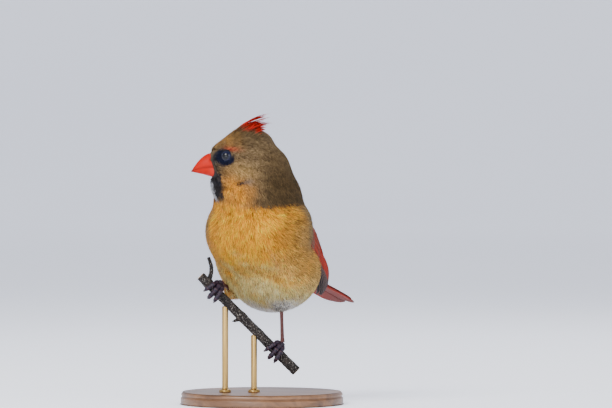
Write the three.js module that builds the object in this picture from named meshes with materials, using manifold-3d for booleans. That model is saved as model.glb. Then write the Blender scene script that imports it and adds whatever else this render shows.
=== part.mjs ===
// A female northern cardinal, life size, perched on a short cut branch that a plain stand holds.
// Millimetres, +Z up. The bird faces -Y and its left is +X. The origin is the centre of the stand's underside.
import * as THREE from "three";
import { mergeVertices } from "three/addons/utils/BufferGeometryUtils.js";
import Module from "manifold-3d";

const wasm = await Module();
wasm.setup();

const GAP = 0.35;
const RADIANS = Math.PI / 180;

// Driving sizes, from the species and the pose.
const TAIL_LENGTH = 97;
const TAIL_PITCH = 16 * RADIANS;
const TAIL_TURN = 4.5 * RADIANS;
const TAIL_HALF_WIDTH = 10;
const HEAD_TURN = 58 * RADIANS;
const EYE_RADIUS = 3.5;
const TARSUS_RADIUS = 1.25;
const TOE_RADIUS = 1.2;
const CLAW_LENGTH = 5.5;
const BRANCH_RADIUS = 3;
const BASE_RADIUS = 52;
const BASE_HEIGHT = 8;
const ROD_RADIUS = 2;
const FEATHER_THICKNESS = 0.55;
const LAYER = FEATHER_THICKNESS + 0.32;

const vec = (x, y, z) => new THREE.Vector3(x, y, z);
const UP = vec(0, 0, 1);
const lerp = THREE.MathUtils.lerp;
const clamp = THREE.MathUtils.clamp;

// Points measured on the pose: across the view, up, and away from the viewer.
const VIEW_TURN = 25 * RADIANS;
const inView = (across, up, away) =>
  vec(
    across * Math.cos(VIEW_TURN) - away * Math.sin(VIEW_TURN),
    across * Math.sin(VIEW_TURN) + away * Math.cos(VIEW_TURN),
    up,
  );

// The head's own frame: forward, left and up from its centre.
const HEAD_CENTRE = vec(-4.2, -26.4, 156);
const HEAD_FORWARD = vec(-Math.sin(HEAD_TURN), -Math.cos(HEAD_TURN), 0);
const HEAD_LEFT = vec(Math.cos(HEAD_TURN), -Math.sin(HEAD_TURN), 0);
const inHead = (forward, left, up) =>
  HEAD_CENTRE.clone()
    .addScaledVector(HEAD_FORWARD, forward)
    .addScaledVector(HEAD_LEFT, left)
    .addScaledVector(UP, up);

// Solids

function solidOf(geometry) {
  const bare = geometry.index ? geometry.toNonIndexed() : geometry.clone();
  bare.deleteAttribute("normal");
  bare.deleteAttribute("uv");
  const merged = mergeVertices(bare, 1e-4);
  const make = (triangles) =>
    new wasm.Manifold(
      new wasm.Mesh({
        numProp: 3,
        vertProperties: merged.attributes.position.array,
        triVerts: triangles,
      }),
    );
  const triangles = new Uint32Array(merged.index.array);
  const made = make(triangles);
  if (made.volume() > 0) return made;
  for (let i = 0; i < triangles.length; i += 3)
    [triangles[i + 1], triangles[i + 2]] = [triangles[i + 2], triangles[i + 1]];
  return make(triangles);
}

function geometryOf(solid) {
  const mesh = solid.getMesh();
  const corners = new Float32Array(mesh.numVert * 3);
  for (let i = 0; i < mesh.numVert; i++)
    for (let k = 0; k < 3; k++)
      corners[3 * i + k] = mesh.vertProperties[mesh.numProp * i + k];
  const geometry = new THREE.BufferGeometry();
  geometry.setAttribute("position", new THREE.BufferAttribute(corners, 3));
  geometry.setIndex(new THREE.BufferAttribute(new Uint32Array(mesh.triVerts), 1));
  return geometry;
}

const joined = (solids) => wasm.Manifold.union(solids);
const largest = (solid) =>
  solid.decompose().reduce((a, b) => (b.volume() > a.volume() ? b : a));
// What lies on the side of a plane that its normal points to.
const cutBy = (solid, normal, point) =>
  solid.trimByPlane(normal.toArray(), normal.dot(point));

// A closed skin through rings of equal count, each quad split from its first corner to its third.
function loft(rings) {
  const count = rings[0].length;
  const corners = rings.flat().flatMap((p) => p.toArray());
  const triangles = [];
  for (let i = 0; i + 1 < rings.length; i++)
    for (let j = 0; j < count; j++) {
      const a = i * count + j;
      const b = i * count + ((j + 1) % count);
      triangles.push(a, b, b + count, a, b + count, a + count);
    }
  const last = (rings.length - 1) * count;
  for (let j = 1; j + 1 < count; j++) {
    triangles.push(0, j + 1, j);
    triangles.push(last, last + j, last + j + 1);
  }
  const geometry = new THREE.BufferGeometry();
  geometry.setAttribute(
    "position",
    new THREE.BufferAttribute(new Float32Array(corners), 3),
  );
  geometry.setIndex(triangles);
  return solidOf(geometry);
}

// A flat feather: rows of points on its lower face and its upper face, split alike on both.
function plate(lower, upper) {
  const across = lower[0].length;
  const rows = lower.length;
  const corners = [...lower.flat(), ...upper.flat()].flatMap((p) => p.toArray());
  const top = rows * across;
  const triangles = [];
  const quad = (a, b, c, d) => triangles.push(a, b, c, a, c, d);
  for (let i = 0; i + 1 < rows; i++)
    for (let j = 0; j + 1 < across; j++) {
      const a = i * across + j;
      const b = a + 1;
      const c = b + across;
      const d = a + across;
      triangles.push(a, c, b, a, d, c);
      triangles.push(top + a, top + b, top + c, top + a, top + c, top + d);
    }
  for (let i = 0; i + 1 < rows; i++) {
    const left = i * across;
    const right = left + across - 1;
    quad(left, top + left, top + left + across, left + across);
    quad(right, right + across, top + right + across, top + right);
  }
  const end = (rows - 1) * across;
  for (let j = 0; j + 1 < across; j++) {
    quad(j, j + 1, top + j + 1, top + j);
    quad(end + j, top + end + j, top + end + j + 1, end + j + 1);
  }
  const geometry = new THREE.BufferGeometry();
  geometry.setAttribute(
    "position",
    new THREE.BufferAttribute(new Float32Array(corners), 3),
  );
  geometry.setIndex(triangles);
  return solidOf(geometry);
}

// A round tube along points, its radius given at each of them.
function tube(points, radii, sides = 8) {
  const rings = [];
  let side = vec(0.31, 0.17, 0.93);
  points.forEach((point, i) => {
    const next = points[Math.min(i + 1, points.length - 1)];
    const before = points[Math.max(i - 1, 0)];
    const along = next.clone().sub(before).normalize();
    side = side.clone().addScaledVector(along, -side.dot(along)).normalize();
    const other = along.clone().cross(side);
    rings.push(
      Array.from({ length: sides }, (_, j) => {
        const angle = (2 * Math.PI * j) / sides;
        return point
          .clone()
          .addScaledVector(side, radii[i] * Math.cos(angle))
          .addScaledVector(other, radii[i] * Math.sin(angle));
      }),
    );
  });
  return loft(rings);
}

const along = (points, count) =>
  new THREE.CatmullRomCurve3(points, false, "centripetal").getPoints(count);

// The body's form, as eggs that melt into each other

// Distance to an egg with half sizes across, forward and up in its own frame.
function egg(centre, half, pitch = 0, forward = vec(0, -1, 0)) {
  const left = forward.clone().cross(UP).negate();
  const ahead = forward.clone().applyAxisAngle(left, -pitch);
  const over = ahead.clone().cross(left).negate();
  const [across, length, height] = half;
  return (p) => {
    const q = p.clone().sub(centre);
    const x = q.dot(left);
    const y = q.dot(ahead);
    const z = q.dot(over);
    const inner = Math.hypot(x / across, y / length, z / height);
    const slope = Math.hypot(x / across ** 2, y / length ** 2, z / height ** 2);
    return slope < 1e-9 ? -across : (inner * (inner - 1)) / slope;
  };
}

// The nearest of several eggs, with their seams softened over some millimetres.
const melted = (eggs, soft) => (p) =>
  eggs.reduce((least, part) => {
    const d = part(p);
    const share = Math.max(soft - Math.abs(least - d), 0) / soft;
    return Math.min(least, d) - (share * share * soft) / 4;
  }, 1e6);

const TORSO_EGGS = [
  egg(vec(2, -9, 110), [35, 31, 29.5], 0.3),
  egg(vec(3.5, 10, 88.5), [31.5, 31, 30.5]),
  egg(vec(1.5, 14, 103), [27, 30, 21], 0.3),
  egg(vec(1.5, 36, 87), [13, 25, 11], 0.26),
  egg(vec(13, -3, 114), [20, 24, 19]),
  egg(vec(-9, -3, 114), [20, 24, 19]),
  egg(vec(18.9, -4.7, 92), [14, 13, 17]),
  egg(vec(-14.9, -4.7, 92), [14, 13, 17]),
];
const HEAD_EGGS = [
  egg(inHead(-2.5, 0, 0.5), [16, 19.5, 17], 0, HEAD_FORWARD),
  egg(inHead(-7, 0, 19), [6, 13, 6], -0.6, HEAD_FORWARD),
  egg(inHead(-15.5, 0, -9.5), [18, 18, 20], 0.3, HEAD_FORWARD),
  egg(inHead(11, 0, -1), [8, 8, 9], 0, HEAD_FORWARD),
];
const NECK_EGGS = [egg(vec(2.8, -12, 133), [28, 28, 22])];
const body = melted([...TORSO_EGGS, ...NECK_EGGS, ...HEAD_EGGS], 7);

// A ball of triangles pulled out from a centre to where a field reaches a level.
function ballOn(field, centre, detail, level = 0, reach = 90) {
  const geometry = new THREE.IcosahedronGeometry(1, detail);
  const place = geometry.attributes.position;
  for (let i = 0; i < place.count; i++) {
    const way = vec(0, 0, 0).fromBufferAttribute(place, i).normalize();
    const found = castTo(field, centre, way, level, reach);
    place.setXYZ(i, found.x, found.y, found.z);
  }
  return solidOf(geometry);
}

// The point on a ray where a field first reaches a level, by halving.
function castTo(field, from, way, level, reach) {
  let near = 0;
  let far = reach;
  for (let step = 0; step < 26; step++) {
    const middle = (near + far) / 2;
    if (field(from.clone().addScaledVector(way, middle)) < level) near = middle;
    else far = middle;
  }
  return from.clone().addScaledVector(way, (near + far) / 2);
}

// Cuts between the flesh nodes
const HEAD_CUT = { point: inHead(0, 0, -18), normal: vec(0.1, -0.1, 1).normalize() };
const NECK_CUT = { point: vec(0, -20, 125), normal: vec(0, -0.35, 1).normalize() };
const TAIL_ROOT = vec(1.5, 22, 88);
const turnedTail = (y, z) => vec(0, y, z).applyAxisAngle(UP, -TAIL_TURN);
const TAIL_WAY = turnedTail(Math.cos(TAIL_PITCH), -Math.sin(TAIL_PITCH));
const TAIL_UP = turnedTail(Math.sin(TAIL_PITCH), Math.cos(TAIL_PITCH));
const TAIL_LEFT = TAIL_WAY.clone().cross(TAIL_UP);
const TAIL_CUT = { point: TAIL_ROOT.clone().addScaledVector(TAIL_WAY, 27), normal: TAIL_WAY };

const above = (solid, cut, gap = 0) =>
  cutBy(solid, cut.normal, cut.point.clone().addScaledVector(cut.normal, gap));
const below = (solid, cut, gap = 0) =>
  cutBy(solid, cut.normal.clone().negate(), cut.point.clone().addScaledVector(cut.normal, -gap));

// Wings

const WING_START = vec(1.5, -22, 110);
const WING_END = vec(1.5, 57, 74);
const WING_WAY = WING_END.clone().sub(WING_START).normalize();
const WING_OVER = vec(0, -WING_WAY.z, WING_WAY.y);
const wingBed = melted(
  [
    egg(vec(1.5, -6, 104), [28.5, 26, 26], 0.35),
    egg(vec(1.5, 12, 98), [28.5, 32, 26], 0.3),
    egg(vec(1.5, 26, 87), [26.5, 46, 20], 0.26),
  ],
  6,
);
// A place on the folded wing: run back along it, turn down from the back, height over the bed.
function onWing(side, run, turn, height) {
  const from = WING_START.clone().addScaledVector(WING_WAY, run);
  const way = vec(0, 0, 0)
    .addScaledVector(WING_OVER, Math.cos(turn * RADIANS))
    .addScaledVector(vec(side, 0, 0), Math.sin(turn * RADIANS));
  return castTo(wingBed, from, way, height, 60);
}
const wingRadius = (side, run, turn) => {
  const from = WING_START.clone().addScaledVector(WING_WAY, run);
  return onWing(side, run, turn, 0).distanceTo(from);
};

// Outline of a feather's half width from root to tip, rounded at the tip.
function featherShare(t, blunt) {
  const swell = 0.45 + 0.55 * Math.sin(Math.min(t / 0.6, 1) * Math.PI * 0.5);
  const rest = clamp((t - (1 - blunt)) / blunt, 0, 1);
  return swell * Math.sqrt(Math.max(1 - rest * rest, 0.02));
}

// One feather of the wing: its lower edge lies over the next one down, clear of it by a layer.
function wingFeather(side, f) {
  const lower = [];
  const upper = [];
  for (const t of f.stations) {
    const run = lerp(f.root[0], f.tip[0], t);
    const turn = lerp(f.root[1], f.tip[1], t);
    const perMm = 1 / (wingRadius(side, run, turn) * RADIANS);
    const half = f.half * featherShare(t, f.blunt);
    const tilt = (LAYER / f.pitch) * clamp(0.45 + t * 2, 0, 1);
    const rise = f.rise[0] + (f.rise[1] - f.rise[0]) * clamp(t * 2, 0, 1);
    const at = (v, over) =>
      onWing(side, run, turn + v * half * perMm, rise + tilt * (v + 1) * half + over);
    lower.push([at(-1, 0), at(1, 0)]);
    upper.push([at(-1, FEATHER_THICKNESS), at(1, FEATHER_THICKNESS)]);
  }
  return plate(lower, upper);
}

const LONG_STATIONS = [0, 0.35, 0.65, 0.85, 0.95, 1];
const SHORT_STATIONS = [0, 0.45, 0.8, 1];
const row = (count, make) =>
  Array.from({ length: count }, (_, i) => make(count > 1 ? i / (count - 1) : 0, i));

const PRIMARY_TIPS = [66, 77, 84, 88, 87, 83, 78];
const PRIMARY_TIP_TURNS = [121, 117, 113, 108, 103, 98, 93];
const wingFeathers = [
  ...row(7, (u, i) => ({
    root: [30, lerp(89, 74, u)],
    tip: [PRIMARY_TIPS[i], PRIMARY_TIP_TURNS[i]],
    half: 2,
    pitch: 1.75,
    blunt: 0.16,
    rise: [0.2, 0.4],
    stations: LONG_STATIONS,
  })),
  ...row(5, (u) => ({
    root: [26, lerp(72, 50, u)],
    tip: [lerp(73, 65, u), lerp(87, 66, u)],
    half: 2.7,
    pitch: 2.4,
    blunt: 0.16,
    rise: [0.2, 0.5],
    stations: LONG_STATIONS,
  })),
  ...row(3, (u) => ({
    root: [28, lerp(43, 26, u)],
    tip: [lerp(62, 46, u), lerp(57, 37, u)],
    half: 4.6,
    pitch: 3.6,
    blunt: 0.3,
    rise: [0.3, 0.7],
    stations: LONG_STATIONS,
  })),
  ...row(8, (u) => ({
    root: [19, lerp(77, 32, u)],
    tip: [lerp(44, 41, u), lerp(97, 36, u)],
    half: 3.9,
    pitch: 3.7,
    blunt: 0.45,
    rise: [1.6, 2.6],
    stations: SHORT_STATIONS,
  })),
  ...row(7, (u) => ({
    root: [13.5, lerp(71, 34, u)],
    tip: [lerp(30, 28, u), lerp(84, 36, u)],
    half: 4.5,
    pitch: 4.4,
    blunt: 0.55,
    rise: [2.2, 4.3],
    stations: SHORT_STATIONS,
  })),
];

// A slab that follows the wing's bed, between two heights, inside an outline of turns along its run.
function wingSlab(side, runs, turnsAt, heights, columns = 8) {
  const level = (height) =>
    runs.map((run) => {
      const [from, to] = turnsAt(run);
      return Array.from({ length: columns }, (_, j) =>
        onWing(side, run, lerp(from, to, j / (columns - 1)), height(run)),
      );
    });
  return plate(level(heights[0]), level(heights[1]));
}
const evenly = (from, to, count) =>
  Array.from({ length: count }, (_, i) => lerp(from, to, i / (count - 1)));
// The wing's upper and lower edges, as turns from the back.
const wingEdges = (run, grow = 0) => [
  26 - grow + Math.max(0, run - 50) * 1.6,
  lerp(74, 122, clamp((run - 12) / 42, 0, 1)) + grow,
];

function makeWing(side) {
  const core = wingSlab(
    side,
    evenly(12, 34, 7),
    (run) => wingEdges(run),
    [() => GAP, (run) => 1 + 2.2 * Math.sin(clamp((run - 12) / 10, 0, 1) * Math.PI * 0.5)],
  );
  return largest(joined([core, ...wingFeathers.map((f) => wingFeather(side, f))]));
}
const wingPocket = (side) =>
  wingSlab(side, evenly(11, 94, 13), (run) => wingEdges(run, 4.5), [() => -GAP, () => 16], 6);

// Tail

// A place on the tail: run back from its root, left of its middle line, and over it.
const onTail = (run, left, over) =>
  TAIL_ROOT.clone()
    .addScaledVector(TAIL_WAY, run)
    .addScaledVector(TAIL_LEFT, left)
    .addScaledVector(TAIL_UP, over);

const RECTRIX_LENGTHS = [97, 98, 97, 95.5, 93, 89].map((l) => (l * TAIL_LENGTH) / 98);
function rectrix(side, k) {
  const length = RECTRIX_LENGTHS[k];
  const lower = [];
  const upper = [];
  const inner = k === 0 ? -3.5 : 0.2;
  for (const t of [0.14, 0.5, 0.86, 0.95, 1]) {
    const widen = 0.5 + 0.5 * Math.sin(clamp(t / 0.75, 0, 1) * Math.PI * 0.5);
    const rest = clamp((t - 0.86) / 0.14, 0, 1);
    const narrow = Math.sqrt(Math.max(1 - rest * rest, 0.03));
    const outer = (TAIL_HALF_WIDTH * (5.4 + 0.92 * k) * widen) / 10;
    const middle = (inner * widen + outer) / 2;
    const half = ((outer - inner * widen) / 2) * narrow;
    const layer = (k === 0 ? (side > 0 ? 1.5 : 0.5) : -k) * LAYER;
    const run = length * t;
    const droop = -0.0006 * (run - 60) * Math.max(run - 60, 0);
    const at = (v, over) => {
      const x = middle + v * half;
      return onTail(run, side * x, layer + 1.6 + droop - 0.12 * Math.max(x, 0) + over);
    };
    lower.push([at(-1, 0), at(1, 0)]);
    upper.push([at(-1, FEATHER_THICKNESS), at(1, FEATHER_THICKNESS)]);
  }
  return plate(lower, upper);
}

// Short feathers that lie over and under the tail's root.
function tailCovert(left, over, run, length, half, rise) {
  const lower = SHORT_STATIONS.map((t) => {
    const width = half * featherShare(t, 0.5);
    const middle = left * (1 - 0.25 * t);
    return [-width, width].map((w) => onTail(run + length * t, middle + w, over + rise * t));
  });
  const upper = lower.map((pair) =>
    pair.map((p) => p.clone().addScaledVector(TAIL_UP, FEATHER_THICKNESS)),
  );
  return plate(lower, upper);
}

function makeTail() {
  const root = ballOn(body, onTail(26, 0, -1), 4);
  const vanes = [1, -1].flatMap((side) => row(6, (_, k) => rectrix(side, k)));
  const coverts = [-5.5, -2, 2, 5.5].flatMap((left) => [
    tailCovert(left, 4.6 - 0.1 * Math.abs(left), 26, 24 - Math.abs(left), 3, -0.6),
    tailCovert(left, -7.4 + 0.1 * Math.abs(left), 24, 30 - Math.abs(left), 3.2, 1.6),
  ]);
  return largest(above(joined([root, ...vanes, ...coverts]), TAIL_CUT, GAP));
}

// Head

// The eyes look out and a little forward.
const eyeOut = (side) =>
  HEAD_LEFT.clone().multiplyScalar(side * 0.9).addScaledVector(HEAD_FORWARD, 0.42).normalize();
const EYE_PLACE = (side) =>
  castTo(body, inHead(3.2, 0, 2.8), eyeOut(side), 0, 40).addScaledVector(eyeOut(side), -2.5);

// A crest feather: root and tip in the head's frame, the sag of its middle and its lean to a side.
function crestFeather(root, tip, half, sag, lean) {
  const lower = [];
  const upper = [];
  for (const t of [0, 0.4, 0.75, 1]) {
    const width = Math.max(half * featherShare(t, 0.75), 0.3);
    const bend = sag * Math.sin(Math.PI * t);
    const middle = root.map((r, k) => lerp(r, tip[k], t));
    const at = (v, over) =>
      inHead(
        middle[0],
        middle[1] + v * width * Math.cos(lean) + over * Math.sin(lean),
        middle[2] + bend - v * width * Math.sin(lean) + over * Math.cos(lean),
      );
    lower.push([at(-1, 0), at(1, 0)]);
    upper.push([at(-1, FEATHER_THICKNESS), at(1, FEATHER_THICKNESS)]);
  }
  return plate(lower, upper);
}
const CREST = [
  { forward: 2, up: 19, tip: [-18.9, 29.4], sag: 0.8, spread: 0, half: 2.2 },
  { forward: 0, up: 18, tip: [-19.5, 27], sag: 0.6, spread: 2.6, half: 2.4 },
  { forward: -4, up: 17.5, tip: [-21, 23.6], sag: 0.4, spread: 3.8, half: 2.4 },
  { forward: -7, up: 15, tip: [-18.5, 20.8], sag: 0.6, spread: 3.6, half: 2.4 },
  { forward: -8, up: 13, tip: [-17, 17.6], sag: 0.8, spread: 3, half: 2.4 },
];
const crestFeathers = () =>
  CREST.flatMap((c) =>
    (c.spread ? [1, -1] : [1]).map((side) =>
      crestFeather(
        [c.forward, side * c.spread, c.up],
        [c.tip[0], side * c.spread * 0.55, c.tip[1]],
        c.half,
        c.sag,
        side * Math.min(c.spread * 0.28, 1),
      ),
    ),
  );

// The bill's profile in the head's frame, from inside the face to the tip.
const BILL_RUNS = [11, 15, 19, 22.5, 25.5, 28, 29.8];
const CULMEN = [5.2, 5, 4.6, 2.6, -0.3, -3.6, -6.5];
const GAPE = [-4.2, -4.2, -4.2, -4.5, -5, -5.8, -6.9];
const GONYS = [-10.6, -10.9, -10, -9, -8.4, -7.8, -7.4];
const BILL_HALF = [6.2, 6.3, 5.7, 4.6, 3.3, 1.8, 0.5];
const BILL_SIDES = 10;
function mandible(edge, ridge, shift, grow = 0) {
  const rings = BILL_RUNS.map((run, i) =>
    Array.from({ length: BILL_SIDES + 1 }, (_, j) => {
      const angle = (Math.PI * j) / BILL_SIDES;
      const out = (BILL_HALF[i] + grow) * Math.cos(angle);
      const way = Math.sign(ridge[i] - edge[i]);
      const over = (Math.abs(ridge[i] - edge[i]) + grow) * Math.sin(angle) ** 0.85;
      return inHead(run + (i === 0 ? -grow : 0), out, edge[i] + shift + way * over);
    }),
  );
  return loft(rings);
}
const HALF_GAP = GAP / 2;
const upperBill = () => mandible(GAPE, CULMEN, HALF_GAP);
const lowerBill = () => mandible(GAPE, GONYS, -HALF_GAP);
const billRoom = () =>
  joined([mandible(GAPE, CULMEN, 0, GAP), mandible(GAPE, GONYS, 0, GAP)]);

function ballAt(centre, radius, detail, scale = vec(1, 1, 1)) {
  const geometry = new THREE.IcosahedronGeometry(radius, detail);
  geometry.scale(scale.x, scale.y, scale.z);
  geometry.rotateZ(-HEAD_TURN);
  geometry.translate(centre.x, centre.y, centre.z);
  return solidOf(geometry);
}

// Rims round the eye, one over it and one under it.
function lid(side, over) {
  const out = eyeOut(side);
  const ahead = out.clone().cross(UP).multiplyScalar(-side);
  const count = 8;
  const points = evenly(-0.1, 1.1, count).map((t) => {
    const angle = Math.PI * t;
    return EYE_PLACE(side)
      .addScaledVector(ahead, 3.6 * Math.cos(angle))
      .addScaledVector(UP, over * 3.1 * Math.sin(angle))
      .addScaledVector(out, 1.9);
  });
  const radii = points.map((_, i) => 0.6 + 0.35 * Math.sin((Math.PI * i) / (count - 1)));
  return tube(points, radii, 6);
}

function makeHead() {
  const skull = above(ballOn(body, inHead(-6, 0, -2), 6), HEAD_CUT, HALF_GAP);
  const rims = [1, -1].flatMap((side) => [lid(side, 1), lid(side, -1)]);
  const whole = joined([skull, ...crestFeathers(), ...rims]);
  const sockets = joined([1, -1].map((side) => ballAt(EYE_PLACE(side), EYE_RADIUS + GAP, 2)));
  return largest(whole.subtract(sockets).subtract(billRoom()));
}

function makeUpperBill() {
  const nostrils = joined(
    [1, -1].map((side) => ballAt(inHead(17.2, side * 5.6, 0.4), 1, 1, vec(1, 1.5, 0.8))),
  );
  return largest(upperBill().subtract(nostrils));
}

// Branch, legs and feet

const PERCH_AWAY = -10;
const PERCH_TOP = inView(-39, 82.2, PERCH_AWAY);
const PERCH_END = inView(22, 21.4, PERCH_AWAY);
const PERCH_WAY = PERCH_END.clone().sub(PERCH_TOP).normalize();
const PERCH_FRONT = vec(Math.sin(VIEW_TURN), -Math.cos(VIEW_TURN), 0);
const PERCH_OVER = PERCH_FRONT.clone().cross(PERCH_WAY).negate();
if (PERCH_OVER.z < 0) PERCH_OVER.negate();
const perchLength = PERCH_TOP.distanceTo(PERCH_END);
const onPerch = (run) => PERCH_TOP.clone().addScaledVector(PERCH_WAY, run);
// The branch swells at its joints and thickens a little towards its lower end.
const perchRadius = (run) =>
  BRANCH_RADIUS * (0.94 + 0.12 * (run / perchLength)) +
  0.55 * Math.exp(-(((run - 7) / 2.4) ** 2)) +
  0.35 * Math.exp(-(((run - 37) / 2) ** 2));

function perchBody(grow = 0) {
  const runs = [0, 4, 7, 10, 18, 28, 34, 37, 40, 50, 60, 72, perchLength];
  return tube(runs.map(onPerch), runs.map((run) => perchRadius(run) + grow), 12);
}
// A cut side twig and a pair of buds at the upper joint.
function makePerch() {
  const joint = onPerch(6);
  const twig = tube(
    [
      joint,
      joint.clone().addScaledVector(PERCH_OVER, 5).addScaledVector(PERCH_WAY, -2),
      joint.clone().addScaledVector(PERCH_OVER, 9).addScaledVector(PERCH_WAY, -5.5),
      joint.clone().addScaledVector(PERCH_OVER, 12).addScaledVector(PERCH_WAY, -11),
    ],
    [1.9, 1.4, 1.25, 1.1],
    8,
  );
  const low = onPerch(37);
  const bud = tube(
    [
      low,
      low.clone().addScaledVector(PERCH_OVER, -4).addScaledVector(PERCH_WAY, -1),
      low.clone().addScaledVector(PERCH_OVER, -6.5).addScaledVector(PERCH_WAY, -2.4),
    ],
    [1.4, 1.3, 0.35],
    6,
  );
  return largest(joined([perchBody(), twig, bud]));
}

// A toe: rounds the branch in a widening turn, fanned along it, and ends in a curved claw.
function toePath(foot, toe) {
  const count = 9;
  return evenly(0, 1, count).map((t) => {
    const angle = lerp(toe.from, toe.to, t) * RADIANS;
    const out = BRANCH_RADIUS + TOE_RADIUS + GAP + 0.25 + toe.stand * t * t;
    const run = foot.run + toe.shift + toe.fan * t;
    return onPerch(run)
      .addScaledVector(PERCH_OVER, out * Math.cos(angle))
      .addScaledVector(PERCH_FRONT, out * Math.sin(angle));
  });
}
function makeToe(foot, toe) {
  const points = toePath(foot, toe);
  const swell = [1.15, 1, 0.92, 1.02, 0.86, 0.96, 0.82, 0.9, 0.78];
  return tube(points, points.map((_, i) => TOE_RADIUS * swell[i] * toe.girth), 8);
}
function makeClaw(foot, toe) {
  const points = toePath(foot, toe);
  const end = points[points.length - 1];
  const way = end.clone().sub(points[points.length - 2]).normalize();
  const middle = onPerch(foot.run + toe.shift + toe.fan);
  const inward = middle.clone().sub(end).normalize();
  const start = end.clone().addScaledVector(way, GAP);
  const at = (t) =>
    start
      .clone()
      .addScaledVector(way, CLAW_LENGTH * 0.8 * Math.sin(t * 1.35))
      .addScaledVector(inward, CLAW_LENGTH * 0.6 * (1 - Math.cos(t * 1.5)));
  const steps = evenly(0, 1, 5);
  return tube(
    steps.map(at),
    steps.map((t) => Math.max(TOE_RADIUS * 0.7 * (1 - t) ** 0.8, 0.16)),
    6,
  );
}

// Each toe's turn round the branch, its start and fan along it, how far its end stands off, and girth.
const TOES = {
  inner: { from: -8, to: 132, shift: -1.8, fan: -3.4, stand: 1.4, girth: 0.92 },
  middle: { from: -4, to: 160, shift: 0, fan: 1.2, stand: 2.4, girth: 1 },
  outer: { from: -8, to: 142, shift: 1.8, fan: 4.4, stand: 1.8, girth: 0.95 },
  hind: { from: -6, to: -140, shift: 0.4, fan: 0.8, stand: 0.8, girth: 1.02 },
};
const FEET = {
  left: {
    run: 66.8,
    heel: inView(12.4, 64, -7),
    lean: 0.6,
  },
  right: {
    run: 12.5,
    heel: inView(-19.5, 72, 9),
    lean: -0.6,
  },
};
const ankle = (foot) =>
  onPerch(foot.run + foot.lean)
    .addScaledVector(PERCH_OVER, BRANCH_RADIUS + TOE_RADIUS * 2 + 0.9)
    .addScaledVector(PERCH_FRONT, -0.4);

function makeFoot(foot) {
  const pad = ballAt(ankle(foot).addScaledVector(PERCH_OVER, -1.2), 2.1, 2);
  const toes = Object.values(TOES).map((toe) => makeToe(foot, toe));
  return largest(joined([pad, ...toes]).subtract(perchBody(GAP)).subtract(makeShank(foot, GAP)));
}
// The line of a leg from its ankle, past the heel and up into the coat.
const legWay = (foot) => foot.heel.clone().sub(ankle(foot)).normalize();
const onLeg = (foot, run) => ankle(foot).addScaledVector(legWay(foot), run);
const legLength = (foot) => foot.heel.distanceTo(ankle(foot));
function makeShank(foot, grow = 0) {
  const length = legLength(foot) + 4 + 2 * grow;
  const shares = [0, 0.1, 0.5, 0.84, 1];
  const girths = [1.3, 1.02, 0.9, 1.02, 1.25];
  return tube(
    shares.map((s) => onLeg(foot, 1.25 - grow + s * length)),
    girths.map((g) => g * TARSUS_RADIUS + grow),
    10,
  );
}
// The feathered thigh: a cone of coat that narrows on to the shank below the heel.
function makeThigh(foot, hip) {
  const end = onLeg(foot, legLength(foot) - 3.5);
  const middle = onLeg(foot, legLength(foot) + 3);
  const path = along([hip, middle, end], 6);
  const radii = [9, 8.6, 7.8, 6.4, 4.8, 3.4, 2.2];
  return tube(path, radii, 14);
}

// Stand

function makeBase() {
  const bevel = 1.2;
  const profile = [
    [0, 0],
    [BASE_RADIUS - bevel * 0.5, 0],
    [BASE_RADIUS, bevel * 0.5],
    [BASE_RADIUS, BASE_HEIGHT - bevel],
    [BASE_RADIUS - bevel * 0.4, BASE_HEIGHT - bevel * 0.35],
    [BASE_RADIUS - bevel, BASE_HEIGHT],
    [0, BASE_HEIGHT],
  ].map(([x, y]) => new THREE.Vector2(x, y));
  return solidOf(new THREE.LatheGeometry(profile, 48).rotateX(Math.PI / 2));
}
function makeRod(run) {
  const top = onPerch(run);
  const foot = vec(top.x, top.y, BASE_HEIGHT + GAP);
  return largest(tube([foot, top], [ROD_RADIUS, ROD_RADIUS], 16).subtract(perchBody(GAP)));
}

// Materials

const finish = (colour, roughness = 0.8, metalness = 0) =>
  new THREE.MeshStandardMaterial({ color: colour, roughness, metalness });
const BUFF = finish(0xc08a4c, 0.95);
const GREY_BROWN = finish(0x7d7058, 0.95);
const WING_BROWN = finish(0x6e4a40, 0.8);
const TAIL_RED = finish(0x8e3a34, 0.8);
const BILL_RED = finish(0xe8482c, 0.35);
const EYE_DARK = finish(0x14100f, 0.08);
const LEG_BROWN = finish(0x4a3036, 0.55);
const CLAW_DARK = finish(0x241a1e, 0.4);
const BARK = finish(0x4b433d, 0.9);
const WALNUT = finish(0x5b3d28, 0.45);
const BRASS = finish(0xa98a4e, 0.3, 1);

// Assembly

const group = new THREE.Group();
function add(name, solid, material) {
  const mesh = new THREE.Mesh(geometryOf(solid), material);
  mesh.name = name;
  group.add(mesh);
  return solid;
}

const torsoWhole = below(below(ballOn(body, vec(0, 2, 96), 7), NECK_CUT, HALF_GAP), TAIL_CUT);
const pockets = joined([wingPocket(1), wingPocket(-1)]);
const torso = largest(torsoWhole.subtract(pockets));
add("torso", torso, BUFF);
const neckWhole = below(
  above(ballOn(body, vec(1, -16, 133), 6), NECK_CUT, HALF_GAP),
  HEAD_CUT,
  HALF_GAP,
);
add("neck", largest(neckWhole.subtract(pockets)), GREY_BROWN);
add("head", makeHead(), GREY_BROWN);
add("bill_upper", makeUpperBill(), BILL_RED);
add("bill_lower", lowerBill(), BILL_RED);
add("eye_left", ballAt(EYE_PLACE(1), EYE_RADIUS, 2), EYE_DARK);
add("eye_right", ballAt(EYE_PLACE(-1), EYE_RADIUS, 2), EYE_DARK);
add("wing_left", makeWing(1), WING_BROWN);
add("wing_right", makeWing(-1), WING_BROWN);
add("tail", makeTail(), TAIL_RED);

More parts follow.
